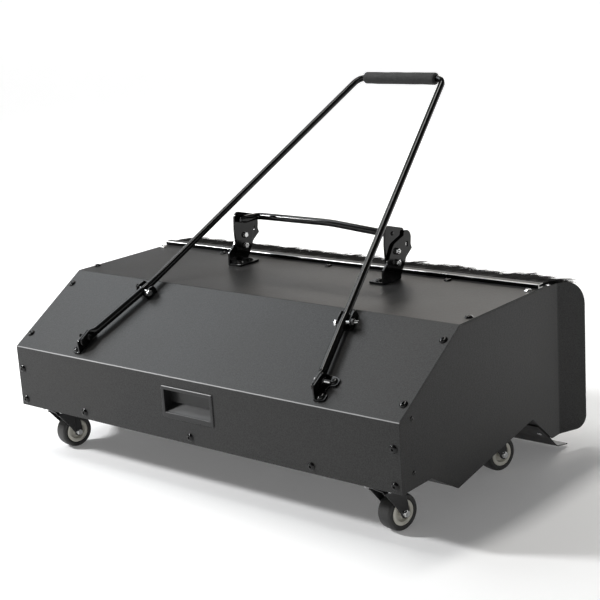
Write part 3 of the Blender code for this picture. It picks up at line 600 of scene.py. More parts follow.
def boolean(obj, tool_shape, operation="DIFFERENCE"):
    """Cut a shape from an object, or fuse it on."""
    tool = make_object("tool", tool_shape, "zinc")
    modifier = obj.modifiers.new("boolean", "BOOLEAN")
    modifier.operation = operation
    modifier.solver = "EXACT"
    modifier.object = tool
    bpy.context.view_layer.update()
    mesh = bpy.data.meshes.new_from_object(
        obj.evaluated_get(bpy.context.evaluated_depsgraph_get()))
    obj.modifiers.clear()
    obj.data = mesh
    mesh.name = obj.name
    while len(mesh.materials) > 1:
        mesh.materials.pop()
    bpy.data.objects.remove(tool)
    mesh.set_sharp_from_angle(angle=math.radians(35))


# ---------------------------------------------------------------- fasteners
def button_screw(length=0.008):
    """M6 flanged button screw with a hexagon socket; z = 0 is the surface that it clamps."""
    steps = [(SHANK_RADIUS, -length, 0), (SHANK_RADIUS, GAP, 0), (0.0064, GAP, 0),
             (0.0068, GAP + 0.0003, 0), (0.0068, 0.0009, 0), (0.0064, 0.0013, 0)]
    for k in range(1, 7):
        angle = math.radians(14 * k)
        steps.append((0.0026 + 0.0034 * math.cos(angle), 0.0012 + 0.0024 * math.sin(angle), 0))
    steps += [(0.0022, 0.0036, 6), (0.0021, 0.0034, 6), (0.0021, 0.0014, 6), (0.0004, 0.0010, 0)]
    return spindle(steps)


def thread(start, end):
    """The ridges of a screw thread from one height down to another, as spindle steps."""
    pitch = 0.001
    steps = []
    height = start
    while height - pitch > end:
        steps += [(SHANK_RADIUS, height, 0), (SHANK_RADIUS - 0.0005, height - pitch / 2, 0)]
        height -= pitch
    return steps + [(SHANK_RADIUS, height, 0), (SHANK_RADIUS * 0.7, end, 0)]


def hex_screw(grip, length):
    """M6 hexagon screw; its head stands on z = 0 and its shank passes a nut below -grip."""
    end = -grip - GAP
    steps = thread(end - NUT_HEIGHT - 0.0001, end - NUT_HEIGHT - length)[::-1]
    steps += [(SHANK_RADIUS, end - NUT_HEIGHT, 0), (SHANK_RADIUS, GAP, 0), (0.0056, GAP, 0),
              (0.0056, GAP + 0.0003, 0), (HEX_RADIUS, GAP + 0.0005, 6), (HEX_RADIUS, 0.0036, 6),
              (HEX_RADIUS * 0.95, 0.0041, 6), (0.0045, 0.0044, 0), (0.0030, 0.0043, 0)]
    return spindle(steps)


def hex_nut(grip):
    """M6 nut under z = -grip."""
    top = -grip - GAP
    low = top - NUT_HEIGHT
    bore = SHANK_RADIUS + 0.0001
    return spindle([
        (bore, low, 0), (0.0046, low, 0), (HEX_RADIUS * 0.95, low + 0.0004, 6),
        (HEX_RADIUS, low + 0.0010, 6), (HEX_RADIUS, top - 0.0008, 6),
        (HEX_RADIUS * 0.94, top, 6), (bore, top, 0),
    ])


def hex_bolt(grip, tail=0.002):
    """M6 hexagon screw with its nut, both of one finish."""
    return joined([hex_screw(grip, tail), hex_nut(grip)])


def dome_rivet(radius=0.0042, height=0.0014):
    """Domed head of a blind rivet, with the broken mandrel in its middle."""
    steps = [(0.0024, -0.003, 0), (0.0024, 0.0002, 0), (radius, 0.0002, 0)]
    for k in range(1, 5):
        angle = math.radians(18 * k)
        steps.append((radius * math.cos(angle), 0.0002 + height * math.sin(angle), 0))
    steps += [(0.0011, 0.0002 + height, 0), (0.0010, height - 0.0004, 0)]
    return spindle(steps)


def on_front(x, z):
    """A place on the front panel's outer face."""
    return place(x, 0, z), FRONT_NORMAL


def on_slant(x, along, above=0.0):
    """A place on the slanted panel, a distance up its slope and above its face."""
    y = along * math.cos(SLOPE) - above * math.sin(SLOPE)
    z = along * math.sin(SLOPE) + above * math.cos(SLOPE)
    return place(x, y, z), SLANT_NORMAL


def on_top(x, y):
    """A place on the top panel."""
    return place(x, y, SLANT_RISE), TOP_NORMAL


def fastener_spin(point):
    """A turn of a fastener that differs from place to place."""
    return (point.x * 37.0 + point.y * 91.0 + point.z * 53.0) % math.pi


def add_fasteners(name, places, shape, look, lift=0.0, stands_for=()):
    """The same fastener at several places, each as a piece of its own."""
    for number, (point, normal) in enumerate(places, start=1):
        seat = standing(point + Vector(normal) * lift, normal, fastener_spin(point))
        nodes = [stands_for[number - 1]] if stands_for else ()
        add_piece(f"{name}_{number}", moved(shape, seat), look, stands_for=nodes, flat=False)


# ---------------------------------------------------------------- box
def hood_path():
    """The hood's outer outline, from the front's lower edge to the top's rear edge."""
    return rounded([
        (0, -FRONT_HEIGHT, 0),
        (0, 0, 0.004),
        (SLANT_RUN, SLANT_RISE, 0.004),
        (HOOD_DEPTH, SLANT_RISE, 0),
    ], steps=12, closed=False)


def make_hood():
    """Front, slanted and top panels folded from one sheet."""
    shape = cross_prism(band(hood_path(), 0, SHEET), -HALF_WIDTH, HALF_WIDTH, edge=0.0004)
    hood = make_object("hood", shape, "powder_coat")
    window = [(-0.01, -0.0680), (0.01, -0.0680), (0.01, -0.0210), (-0.01, -0.0210)]
    boolean(hood, cross_prism(window, -0.0535, 0.0535, edge=0.0))
    declare(even_normals(hood), stands_for=["hood_shell"])


def side_outline():
    """The side panel laid flat: the wing beyond WING_BEND_Y is not bent yet."""
    inner = offset_path(hood_path(), SHEET + GAP)
    wing_end = WING_BEND_Y + WING_LENGTH
    lower = rounded([
        (*inner[-1], 0),
        (wing_end, 0.0970, 0.045),
        (wing_end, -0.1650, 0.022),
        (0.437, -0.1650, 0.003),
        (0.373, -0.1115, 0.003),
        (0.147, -0.1525, 0.003),
        (0.077, -0.1115, 0.003),
        (0.002, -0.1115, 0),
    ], steps=14, closed=False)[1:-1]
    return inner[1:] + lower + [Vector((SHEET + GAP, -0.1115))]


def bend_wing(point):
    """Turn a point of a right-hand side panel beyond the bend outward."""
    radius = 0.012
    past = point.y - (WING_BEND_Y + FRONT_Y)
    if past <= 0:
        return point
    angle = min(WING_ANGLE, past / radius)
    rest = past - angle * radius
    depth = radius - (point.x - HALF_WIDTH)
    x = HALF_WIDTH + radius - depth * math.cos(angle) + rest * math.sin(angle)
    y = WING_BEND_Y + FRONT_Y + depth * math.sin(angle) + rest * math.cos(angle)
    return Vector((x, y, point.z))


def make_side_panel(hand, side):
    """Side panel with an inward flange under the hood and an outward flared rear wing."""
    face = HALF_WIDTH - GAP
    plate = make_object(f"side_{hand}", cross_prism(side_outline(), face - SHEET, face),
                        "powder_coat")
    outer = [Vector((0, -0.1040)), *hood_path()[1:-1], Vector((0.420, SLANT_RISE))]
    outer = offset_path(outer, SHEET + 1.5 * GAP)
    inner = [Vector((0, -0.1040)), Vector((0, 0)), Vector((SLANT_RUN, SLANT_RISE)),
             Vector((0.420, SLANT_RISE))]
    inner = offset_path(inner, 2 * SHEET + GAP)
    flange = cross_prism(outer + inner[::-1], face - FLANGE_WIDTH, face - SHEET / 2)
    boolean(plate, flange, "UNION")
    bm = bmesh.new()
    bm.from_mesh(plate.data)
    for k in range(11):
        cut = (0, WING_BEND_Y + FRONT_Y + 0.00046 * k, 0)
        bmesh.ops.bisect_plane(bm, geom=bm.verts[:] + bm.edges[:] + bm.faces[:], dist=1e-6,
                               plane_co=cut, plane_no=(0, 1, 0))
    for vert in bm.verts:
        vert.co = bend_wing(vert.co.copy())
    bm.to_mesh(plate.data)
    bm.free()
    if side < 0:
        plate.data.transform(Matrix.Diagonal((-1, 1, 1, 1)))
        plate.data.flip_normals()
    declare(even_normals(plate), stands_for=[f"side_panel_{hand}"])


def lip_rivet_places():
    """The places of the rivets along the tray's rear slope, on its underside."""
    down = (0.423 - 0.3730) * math.tan(LIP_SLOPE)
    normal = Vector((0, math.sin(LIP_SLOPE), math.cos(LIP_SLOPE)))
    places = []
    for x in (-0.409, -0.240, -0.080, 0.080, 0.240, 0.409):
        places.append((place(x, 0.423, PLATFORM_Z - down), normal))
    return places


def make_floor():
    """Tray with its caster platforms, and the lip under its rear slope."""
    half = HALF_WIDTH - SHEET - 3 * GAP
    floor_path = rounded([
        (SHEET + 2 * GAP, PLATFORM_Z, 0),
        (0.0770, PLATFORM_Z, 0.004),
        (0.1470, -0.1515, 0.004),
        (0.2520, PLATFORM_Z, 0.004),
        (0.3730, PLATFORM_Z, 0.004),
        (0.4365, -0.1640, 0),
    ], steps=8, closed=False)
    tray = make_object("tray", cross_prism(band(floor_path, -SHEET, 0), -half, half),
                       "powder_coat")
    inner = SHEET + 2 * GAP
    upstand = [(inner + 0.0001, PLATFORM_Z + SHEET / 2), (inner + SHEET, PLATFORM_Z + SHEET / 2),
               (inner + SHEET, -0.0860), (inner + 0.0001, -0.0860)]
    inside = half - FLANGE_WIDTH - SHEET
    boolean(tray, cross_prism(upstand, -inside, inside), "UNION")
    declare(even_normals(tray), stands_for=["bottom_tray"])
    lip_path = rounded([
        (0.3960, PLATFORM_Z - (0.3960 - 0.3730) * math.tan(LIP_SLOPE), 0),
        (0.4365, -0.1640, 0.010),
        (0.4590, -0.1850, 0.025),
        (0.4940, -0.1920, 0),
    ], steps=12, closed=False)
    lip_outline = band(lip_path, GAP, GAP + LIP_THICKNESS, 0.0008)
    add_piece("lip", cross_prism(lip_outline, -half, half, edge=0.0008), "lip_rubber",
              stands_for=["rear_lip"])
    rivets = [(point - normal * (GAP + LIP_THICKNESS), -normal)
              for point, normal in lip_rivet_places()]
    add_fasteners("lip_rivet", rivets, dome_rivet(), "zinc")
    tails = [(point + normal * SHEET, normal) for point, normal in lip_rivet_places()]
    add_fasteners("lip_rivet_tail", tails, dome_rivet(0.0030, 0.0012), "zinc")


def make_hood_fasteners():
    """The screws and rivets that hold the hood and the side panels."""
    black = [on_front(0, -0.0990), on_top(0, 0.3875)]
    for side in (-1, 1):
        black += [on_front(side * 0.413, z) for z in (-0.0415, -0.0995)]
        black += [on_front(side * 0.256, -0.0990), on_top(side * 0.258, 0.3875)]
        black += [on_slant(side * 0.414, along) for along in (0.034, 0.1625)]
        black += [on_top(side * 0.416, 0.206)]
    add_fasteners("hood_screw", black, button_screw(), "gloss_black")
    shiny = [on_top(side * 0.416, 0.383) for side in (-1, 1)]
    add_fasteners("corner_screw", shiny, button_screw(), "zinc")
    sides = []
    for side in (-1, 1):
        for z in (-0.003, -0.0875):
            sides.append((place(side * (HALF_WIDTH - GAP), 0.0317, z), Vector((side, 0, 0))))
    add_fasteners("side_rivet", sides, dome_rivet(), "gloss_black")


def ring_rectangle(half_x, low_z, high_z, corner, y, steps=5):
    """A rounded rectangle across the front panel, as points at a depth y."""
    outline = rounded([(half_x, low_z, corner), (half_x, high_z, corner),
                       (-half_x, high_z, corner), (-half_x, low_z, corner)], steps=steps)
    return [place(a, y, b) for a, b in outline]


def make_grip_cup():
    """Moulded recess in the front panel: a thin bezel, steep walls and a sloping floor."""
    rings = [
        ring_rectangle(0.0535, -0.0680, -0.0210, 0.0015, 0.0040),
        ring_rectangle(0.0532, -0.0677, -0.0213, 0.0015, -0.0003),
        ring_rectangle(0.0573, -0.0718, -0.0172, 0.0025, -0.0003),
        ring_rectangle(0.0575, -0.0720, -0.0170, 0.0028, -0.0006),
        ring_rectangle(0.0573, -0.0718, -0.0172, 0.0027, -0.0012),
        ring_rectangle(0.0569, -0.0714, -0.0176, 0.0025, -0.0016),
        ring_rectangle(0.0562, -0.0707, -0.0183, 0.0022, -0.0018),
        ring_rectangle(0.0519, -0.0634, -0.0226, 0.0016, -0.0018),
        ring_rectangle(0.0513, -0.0628, -0.0232, 0.0012, -0.0014),
        ring_rectangle(0.0511, CUP_FLOOR_FRONT, -0.0234, 0.0010, -0.0006),
    ]
    depth_steps = 8
    for k in range(1, depth_steps + 1):
        share = k / depth_steps
        floor = CUP_FLOOR_FRONT + 0.0130 * share
        rings.append(ring_rectangle(0.0511, floor, -0.0234, 0.0010, 0.0161 * share - 0.0006))
    shape = loft(rings)
    shape[1].pop(-2)
    outer = [ring_rectangle(0.0535, -0.0680, -0.0210, 0.0015, 0.0040)]
    for y, floor in ((0.0050, -0.0640), (0.0175, -0.0515)):
        outer.append(ring_rectangle(0.0531, floor, -0.0214, 0.0015, y))
    back = loft(outer)
    back[1].pop(-2)
    cup = make_object("grip_recess", joined([shape, back]), "black_plastic")
    bm = bmesh.new()
    bm.from_mesh(cup.data)
    bmesh.ops.remove_doubles(bm, verts=bm.verts, dist=1e-6)
    bmesh.ops.recalc_face_normals(bm, faces=bm.faces)
    bm.to_mesh(cup.data)
    bm.free()
    cup.data.set_sharp_from_angle(angle=math.radians(40))
    declare(even_normals(cup), stands_for=["grip_cup"])


# ---------------------------------------------------------------- brush
def make_rail():
    """Folded rail along the top's rear edge."""
    base = SLANT_RISE + GAP
    corners = [(0.4010, base, 0.0006), (0.4160, base, 0.0004), (0.4160, base + 0.0016, 0.0004),
               (0.4040, base + 0.0016, 0.0008), (0.4040, base + 0.0056, 0.0008),
               (0.4160, base + 0.0056, 0.0006), (0.4160, base + RAIL_HEIGHT, 0.0007),
               (0.4010, base + RAIL_HEIGHT, 0.0016)]
    add_piece("rail", cross_prism(rounded(corners, steps=5), -HALF_WIDTH, HALF_WIDTH, edge=0.0003),
              "rail_steel", stands_for=["brush_rail"])


def strand(root, middle, tip, radius, sides=3, steps=4):
    """One tapered fibre along a curve through three points."""
    rings = []
    for k in range(steps + 1):
        s = k / steps
        centre = root.lerp(middle, s).lerp(middle.lerp(tip, s), s)
        reach = radius * (1 - 0.6 * s)
        rings.append([centre + Vector((reach * math.cos(2 * math.pi * j / sides), 0,
                                       reach * math.sin(2 * math.pi * j / sides)))
                      for j in range(sides)])
    return loft(rings)


def side_limit(y):
    """How far from the middle a fibre may reach at a depth y, inside the flared wings."""
    inner = HALF_WIDTH - SHEET - 6 * GAP
    return inner + max(0.0, y - WING_BEND_Y - 0.004) * math.tan(WING_ANGLE)


def make_bristles():
    """Tufts of black fibre that droop from the rail; their ends are ragged."""
    draw = random.Random(7)
    half = HALF_WIDTH - SHEET - 6 * GAP
    base = SLANT_RISE + GAP
    count = 7600
    tufts = 150
    offsets = [(draw.gauss(0, 0.0035), draw.gauss(0, 0.0045), draw.gauss(0, 0.0022))
               for _ in range(tufts)]
    shapes = []
    for i in range(count):
        share = (i + draw.random()) / count
        x = -half + 2 * half * share
        tuft_x, tuft_y, tuft_z = offsets[min(tufts - 1, int(share * tufts))]
        level = draw.random()
        root = place(x, 0.4150, base + 0.0024 + 0.0024 * level)
        reach = 0.5040 + tuft_y + draw.gauss(0, 0.0040)
        if draw.random() < 0.05:
            reach -= draw.uniform(0.005, 0.030)
        reach = min(reach, 0.5180)
        splay = tuft_x + draw.gauss(0, 0.0030)
        beyond = max(0.0, abs(x) - 0.360)
        splay += math.copysign(beyond * 0.22, x)
        rise = tuft_z + draw.gauss(0, 0.0018)
        tip_x = max(-side_limit(reach), min(side_limit(reach), x + splay))
        tip = place(tip_x, reach, 0.0865 + 0.0090 * level + rise)
        middle = place(x + (tip_x - x) * 0.35, 0.4640, 0.1010 + 0.0075 * level + rise * 0.4)
        middle.x = max(-half, min(half, middle.x))
        shapes.append(strand(root, middle, tip, 0.00042))
    core = [(0.4050, base + 0.0022), (0.4170, base + 0.0022), (0.4400, base + 0.0012),
            (0.4420, base + 0.0030), (0.4170, base + 0.0050), (0.4050, base + 0.0050)]
    shapes.append(cross_prism(core, -half, half, edge=0.0003))
    add_piece("bristles", joined(shapes), "bristle", stands_for=["brush_bristles"], flat=False,
              sharp=80)


# ---------------------------------------------------------------- pull handle
class Leg:
    """The line of one leg: its foot, its straight part and its corner, in the frame."""

    def __init__(self, hand):
        self.side = -1 if hand == "left" else 1
        self.foot = place(FOOT_X[hand], *FOOT_AXIS)
        self.middle = place(MIDDLE_X[hand], *MIDDLE_POINT)
        self.corner = place(self.side * CORNER_X, *CORNER_POINT)
        self.along = unit(self.foot, self.middle)
        self.across = self.along.cross(SLANT_NORMAL).normalized()
        self.bolt = self.at(BRACKET_BOLT[hand])

    def at(self, distance):
        """The point on the straight part a distance beyond the middle."""
        return self.middle + self.along * distance


def sweep_rings(sections, upright, count=32):
    """Rings of a tube through sections (centre, half width, half height, squareness)."""
    centres = [section[0] for section in sections]
    rings = []
    for i, (centre, wide, high, square) in enumerate(sections):
        along = unit(centres[max(i - 1, 0)], centres[min(i + 1, len(centres) - 1)])
        across = along.cross(upright).normalized()
        up = across.cross(along)
        power = 1 - 0.62 * square
        ring = []
        for k in range(count):
            angle = 2 * math.pi * (k + 0.5) / count
            c = math.cos(angle)
            s = math.sin(angle)
            c = math.copysign(abs(c) ** power, c)
            s = math.copysign(abs(s) ** power, s)
            ring.append(centre + across * wide * c + up * high * s)
        rings.append(ring)
    return rings


def eased(sections, steps=6):
    """Sections with smooth steps between each pair."""
    result = [sections[0]]
    for first, second in zip(sections, sections[1:]):
        for k in range(1, steps + 1):
            s = k / steps
            ease = s * s * (3 - 2 * s)
            sizes = [a + (b - a) * ease for a, b in zip(first[1:], second[1:])]
            result.append((first[0].lerp(second[0], s), *sizes))
    return result


def make_lower_tube(hand, leg):
    """Lower tube of a leg: pressed flat at the foot, and open at the top."""
    flat = Vector((0, leg.along.y, leg.along.z)).normalized()
    radius = LOWER_TUBE_RADIUS
    keys = [
        (leg.foot - flat * 0.0200, 0.0016, 0.0028, 0.2),
        (leg.foot - flat * 0.0190, 0.0025, 0.0058, 0.6),
        (leg.foot - flat * 0.0155, 0.0026, 0.0088, 0.8),
        (leg.foot + flat * 0.0050, 0.0026, 0.0092, 0.8),
        (leg.foot + flat * 0.0085, 0.0028, 0.0090, 0.7),
        (leg.foot + leg.along * 0.0185, radius * 0.93, radius * 1.05, 0.1),
        (leg.foot + leg.along * 0.0235, radius, radius, 0.0),
        (leg.at(0.0095), radius, radius, 0.0),
        (leg.at(0.0100), radius - 0.0003, radius - 0.0003, 0.0),
    ]
    outer = sweep_rings(eased(keys), SLANT_NORMAL)
    bore = LOWER_TUBE_BORE
    inner = sweep_rings([(leg.at(-0.036), bore, bore, 0.0), (leg.at(0.010), bore, bore, 0.0)],
                        SLANT_NORMAL)
    add_piece(f"leg_tube_{hand}", loft(outer + inner[::-1]), "gloss_black",
              stands_for=[f"lower_tube_{hand}"], flat=False)


def make_handle_tube(left, right):
    """Upper handle: one tube bent into a U whose ends slide into the lower tubes."""
    bend = 0.018
    radius = UPPER_TUBE_RADIUS
    halves = []
    for leg in (left, right):
        centre = Vector((0, leg.corner.y, leg.corner.z))
        before = leg.corner + unit(leg.corner, leg.at(0.018)) * bend
        after = leg.corner + unit(leg.corner, centre) * bend
        curve = [before.lerp(leg.corner, k / 16).lerp(leg.corner.lerp(after, k / 16), k / 16)
                 for k in range(17)]
        start = leg.at(0.018)
        halves.append([leg.at(-0.030), leg.at(0.010), start,
                       *[start.lerp(before, k / 8) for k in range(1, 8)], *curve])
    path = halves[0] + [Vector((0, left.corner.y, left.corner.z))] + halves[1][::-1]
    rings = sweep_rings([(point, radius, radius, 0.0) for point in path], SLANT_NORMAL)
    add_piece("handle", loft(rings), "gloss_black", stands_for=["handle_tube"], flat=False)


def make_foam_grip():
    """Foam sleeve around the handle's cross bar, a little uneven as cut foam is."""
    draw = random.Random(3)
    bore = UPPER_TUBE_RADIUS + GAP
    half = GRIP_LENGTH / 2
    length_steps = 90
    around = 48
    waves = [(draw.uniform(20, 160), draw.uniform(0, 6.28), draw.randint(0, 3)) for _ in range(9)]
    rings = [[(-half + 0.0006, bore)] * around]
    for i in range(length_steps + 1):
        x = -half + GRIP_LENGTH * i / length_steps
        end = min(x + half, half - x)
        crown = math.sqrt(max(0.0, 1 - (1 - min(1.0, end / 0.0042)) ** 2))
        ring = []
        for k in range(around):
            angle = 2 * math.pi * k / around
            rough = sum(math.sin(rate * x + start + turns * angle) for rate, start, turns in waves)
            reach = GRIP_RADIUS - 0.0042 + 0.0042 * crown + 0.00006 * rough * min(1, end / 0.004)
            ring.append((x, reach - 0.0002))
        rings.append(ring)
    rings.append([(half - 0.0006, bore)] * around)
    centre = place(0, *CORNER_POINT)
    shape = []
    for ring in rings:
        shape.append([centre + Vector((x, r * math.cos(2 * math.pi * k / around),
                                       r * math.sin(2 * math.pi * k / around)))
                      for k, (x, r) in enumerate(ring)])
    grip = add_piece("grip", loft(shape, closed=True), "foam", stands_for=["foam_grip"],
                     flat=False, sharp=60)


def fused(name, shapes, look, stands_for=()):
    """A piece fused from several solids."""
    obj = make_object(name, shapes[0], look)
    for shape in shapes[1:]:
        boolean(obj, shape, "UNION")
    declare(even_normals(obj), stands_for=stands_for)


def make_handle_foot(hand, leg):
    """Foot bracket: base with two lugs on the slanted panel and an upright ear."""
    ear_x = abs(leg.foot.x) + 0.0029
    base_outline = rounded([
        (ear_x, 0.0090, 0.001), (0.2730, 0.0085, 0.004), (0.2820, 0.0120, 0.005),
        (0.2820, 0.0240, 0.005), (0.2740, 0.0270, 0.004), (0.2740, 0.0390, 0.004),
        (0.2870, 0.0420, 0.005), (0.2870, 0.0555, 0.005), (0.2780, 0.0590, 0.004),
        (ear_x, 0.0600, 0.001),
    ], steps=6)
    slope = Matrix.Translation(place(0, 0, 0)) @ Matrix.Rotation(SLOPE, 4, "X")
    base = moved(prism(base_outline, GAP, GAP + FOOT_SHEET, edge=0.0007), slope)
    ear_outline = rounded([
        (0.0092, GAP + 0.001, 0), (0.0598, GAP + 0.001, 0), (0.0570, 0.0070, 0.006),
        (0.0510, 0.0210, 0.009), (0.0190, 0.0210, 0.009), (0.0120, 0.0070, 0.006),
    ], steps=8)
    ear = prism(ear_outline, ear_x + 0.00005, ear_x + FOOT_SHEET, edge=0.0007)
    shapes = [base, moved(upright(ear), slope)]
    fused(f"foot_{hand}", on_side(leg.side, shapes), "gloss_black",
          stands_for=[f"handle_foot_{hand}"])


def make_leg_bracket(hand, leg):
    """Channel on the slanted panel in line with its leg, with an ear on either side."""
    level = (leg.across.cross(SLANT_NORMAL) * -1).normalized()
    height = (leg.bolt - place(0, 0, 0)).dot(SLANT_NORMAL)
    turn = Matrix((leg.across, level, SLANT_NORMAL)).transposed().to_4x4()
    home = Matrix.Translation(leg.bolt - SLANT_NORMAL * height) @ turn
    left, right = BRACKET_FACES[hand]
    near, far = BRACKET_ENDS[hand]
    wall = BRACKET_SHEET / 2
    floor = prism([(left + wall, near + GAP), (right - wall, near + GAP),
                   (right - wall, far - GAP), (left + wall, far - GAP)],
                  GAP, GAP + BRACKET_SHEET, edge=0.0003)
    ear_outline = rounded([
        (near, GAP, 0.0015), (far, GAP, 0.0015), (far, 0.0165, 0.005),
        ((near + far) / 2, 0.0178, 0.012), (near, 0.0160, 0.006),
    ], steps=8)
    shapes = [moved(floor, home)]
    for low in (left, right - BRACKET_SHEET):
        ear = prism(ear_outline, low, low + BRACKET_SHEET, edge=0.0006)
        shapes.append(moved(upright(ear), home))
    fused(f"bracket_{hand}", shapes, "gloss_black", stands_for=[f"leg_bracket_{hand}"])


def make_handle():
    """All the pieces of the pull handle."""
    legs = {hand: Leg(hand) for hand in ("left", "right")}
    for hand, leg in legs.items():
        make_handle_foot(hand, leg)
        make_lower_tube(hand, leg)
        make_leg_bracket(hand, leg)
        head = leg.foot - Vector((leg.side * 0.0028, 0, 0))
        seat = standing(head, (-leg.side, 0, 0), 0.3)
        add_piece(f"foot_nut_{hand}", moved(hex_nut(FOOT_GRIP), seat), "gloss_black", flat=False)
        bolt = moved(hex_screw(FOOT_GRIP, 0.010), seat)
        look = "zinc" if hand == "right" else "gloss_black"
        add_piece(f"foot_axle_{hand}", bolt, look, stands_for=[f"foot_bolt_{hand}"], flat=False)
        left, right = BRACKET_FACES[hand]
        seat = standing(leg.bolt + leg.across * left, -leg.across, 0.2)
        tail = 0.006
        if hand == "left":
            seat = standing(leg.bolt + leg.across * right, leg.across, 0.2)
            tail = 0.001
        add_piece(f"leg_nut_{hand}", moved(hex_nut(right - left), seat), "gloss_black", flat=False)
        bolt = moved(hex_screw(right - left, tail), seat)
        add_piece(f"leg_axle_{hand}", bolt, "zinc", stands_for=[f"leg_bolt_{hand}"], flat=False)
    make_handle_tube(legs["left"], legs["right"])
    make_foam_grip()
    places = [on_slant(side * x, along) for side in (-1, 1) for x, along in FOOT_SCREWS]
    add_fasteners("foot_screw", places, button_screw(0.012), "gloss_black",
                  lift=GAP + FOOT_SHEET, stands_for=[f"handle_foot_screw_{k}" for k in range(1, 5)])


# ---------------------------------------------------------------- hitch brackets
def make_hook_plate(hand, side):
    """Gooseneck plate with a rear hook and a foot flange screwed to the top panel."""
    base = SLANT_RISE + GAP
    outline = rounded([
        (0.3130, base, 0.0008), (0.3145, 0.1290, 0.006), (0.3290, 0.1400, 0.012),
        (0.3470, 0.1690, 0.018), (0.3780, 0.1790, 0.004), (0.3800, 0.1870, 0.003),
        (0.4020, 0.1850, 0.014), (0.3985, 0.1600, 0.004), (0.4015, 0.1520, 0.001),
        (0.3840, 0.1400, 0.008), (0.3780, 0.1290, 0.010), (0.3670, 0.1120, 0.006),
        (0.3660, base, 0.0008),
    ], steps=8)
    slot = rounded([(0.3838, 0.1575, 0.0026), (0.3892, 0.1575, 0.0026),
                    (0.3892, 0.1665, 0.0026), (0.3838, 0.1665, 0.0026)], steps=6)
    plate = cross_prism(outline, *HOOK_PLATE_X, holes=(slot,), edge=0.0007)
    foot = rounded([(0.3132, base, 0), (0.3658, base, 0), (0.3658, base + HITCH_FOOT_SHEET, 0.0008),
                    (0.3132, base + HITCH_FOOT_SHEET, 0.0008)], steps=4)
    shapes = [plate, cross_prism(foot, 0.1470, HOOK_PLATE_X[1] - 0.001, edge=0.0008)]
    fused(f"hook_{hand}", on_side(side, shapes), "gloss_black", stands_for=[f"hook_plate_{hand}"])


def make_bar_plate(hand, side):
    """Inner plate that carries the bail's pivot above the gooseneck."""
    outline = rounded([
        (0.3310, 0.1275, 0.004), (0.3290, 0.1700, 0.020), (0.3320, 0.2050, 0.011),
        (0.3860, 0.1900, 0.006), (0.3820, 0.1640, 0.010), (0.3720, 0.1275, 0.004),
    ], steps=8)
    pivot_hole = circle(*BAIL_PIVOT, PIVOT_HOLE_RADIUS)
    plate = cross_prism(outline, *BAR_PLATE_X, holes=[pivot_hole], edge=0.0008)
    [plate] = on_side(side, [plate])
    add_piece(f"pivot_plate_{hand}", plate, "gloss_black",
              stands_for=[f"bar_plate_{hand}"])


def make_bail():
    """Release bail: a bent bar whose two flattened legs pivot on the bar plates."""
    leg_x = 0.1620
    bar_y = 0.3870
    reach = 0.012
    sizes = ((0.0040, 0.0045, 0.6), (0.0045, 0.0072, 0.7), (0.0050, 0.0070, 0.3))
    left = [place(-leg_x, 0.3390, 0.1870), place(-leg_x, 0.3510, 0.1870),
            place(-leg_x, 0.3680, 0.1866)]
    right = [place(leg_x, 0.3390, 0.1900), place(leg_x, 0.3510, 0.1870),
             place(leg_x, 0.3680, 0.1828)]
    round_bar = (BAIL_RADIUS, BAIL_RADIUS, 0.0)

    def elbow(side, z):
        corner = place(side * leg_x, bar_y, z)
        leg = corner + Vector((0, -reach, 0))
        bar = corner + Vector((-side * reach, 0, 0))
        return [leg.lerp(corner, k / 10).lerp(corner.lerp(bar, k / 10), k / 10) for k in range(11)]

    sections = eased([(left[0] - Vector((0, 0.0012, 0)), 0.0022, 0.0024, 0.4),
                      *[(p, *size) for p, size in zip(left, sizes)]])
    sections += [(p, *round_bar) for p in elbow(-1, 0.1862)]
    sections += [(place(x, bar_y, z), *round_bar) for x, z in bar_line()]
    sections += [(p, *round_bar) for p in elbow(1, 0.1745)[::-1]]
    sections += eased([(right[0] - Vector((0, 0.0012, 0)), 0.0022, 0.0024, 0.4),
                       *[(p, *size) for p, size in zip(right, sizes)]])[::-1]
    shape = loft(sweep_rings(sections, TOP_NORMAL))
    steps = [(SHANK_RADIUS, -0.0020, 0), (SHANK_RADIUS, 0.0120, 0), (0.0026, 0.0126, 0),
             (0.0020, 0.0130, 0)]
    pivot = place(0, *BAIL_PIVOT)
    pins = [moved(spindle(steps), standing(pivot + Vector((side * leg_x, 0, 0)), (side, 0, 0)))
            for side in (-1, 1)]
    bail = make_object("bail", shape, "gloss_black")
    for pin in pins:
        boolean(bail, pin, "UNION")
    declare(bail, "bail", ["release_bail"])


def bar_line():
    """The bail bar's (x, z) points: level on the left, then drooping to the right."""
    points = []
    for k in range(1, 30):
        x = -0.150 + 0.300 * k / 30
        droop = max(0.0, x + 0.004)
        bend = 0.030
        fall = droop * droop / (2 * bend) if droop < bend else droop - bend / 2
        points.append((x, 0.1862 - 0.0787 * fall))
    return points


def make_hitch():
    """Both hitch brackets, the bail and their fasteners."""
    for hand, side in (("left", -1), ("right", 1)):
        make_hook_plate(hand, side)
        make_bar_plate(hand, side)
        for level, (y, z) in zip(("upper", "lower"), HITCH_BOLTS):
            seat = standing(place(side * BAR_PLATE_X[0], y, z), (-side, 0, 0), 0.25)
            bolt = moved(hex_bolt(HOOK_PLATE_X[1] - BAR_PLATE_X[0]), seat)
            add_piece(f"plate_bolt_{level}_{hand}", bolt, "zinc",
                      stands_for=[f"hitch_bolt_{level}_{hand}"], flat=False)
    make_bail()
    places = [on_top(side * 0.160, y) for side in (-1, 1) for y in (0.3255, 0.3545)]
    add_fasteners("hitch_screw", places, button_screw(0.012), "gloss_black",
                  lift=GAP + HITCH_FOOT_SHEET, stands_for=[f"hitch_foot_screw_{k}" for k in range(1, 5)])


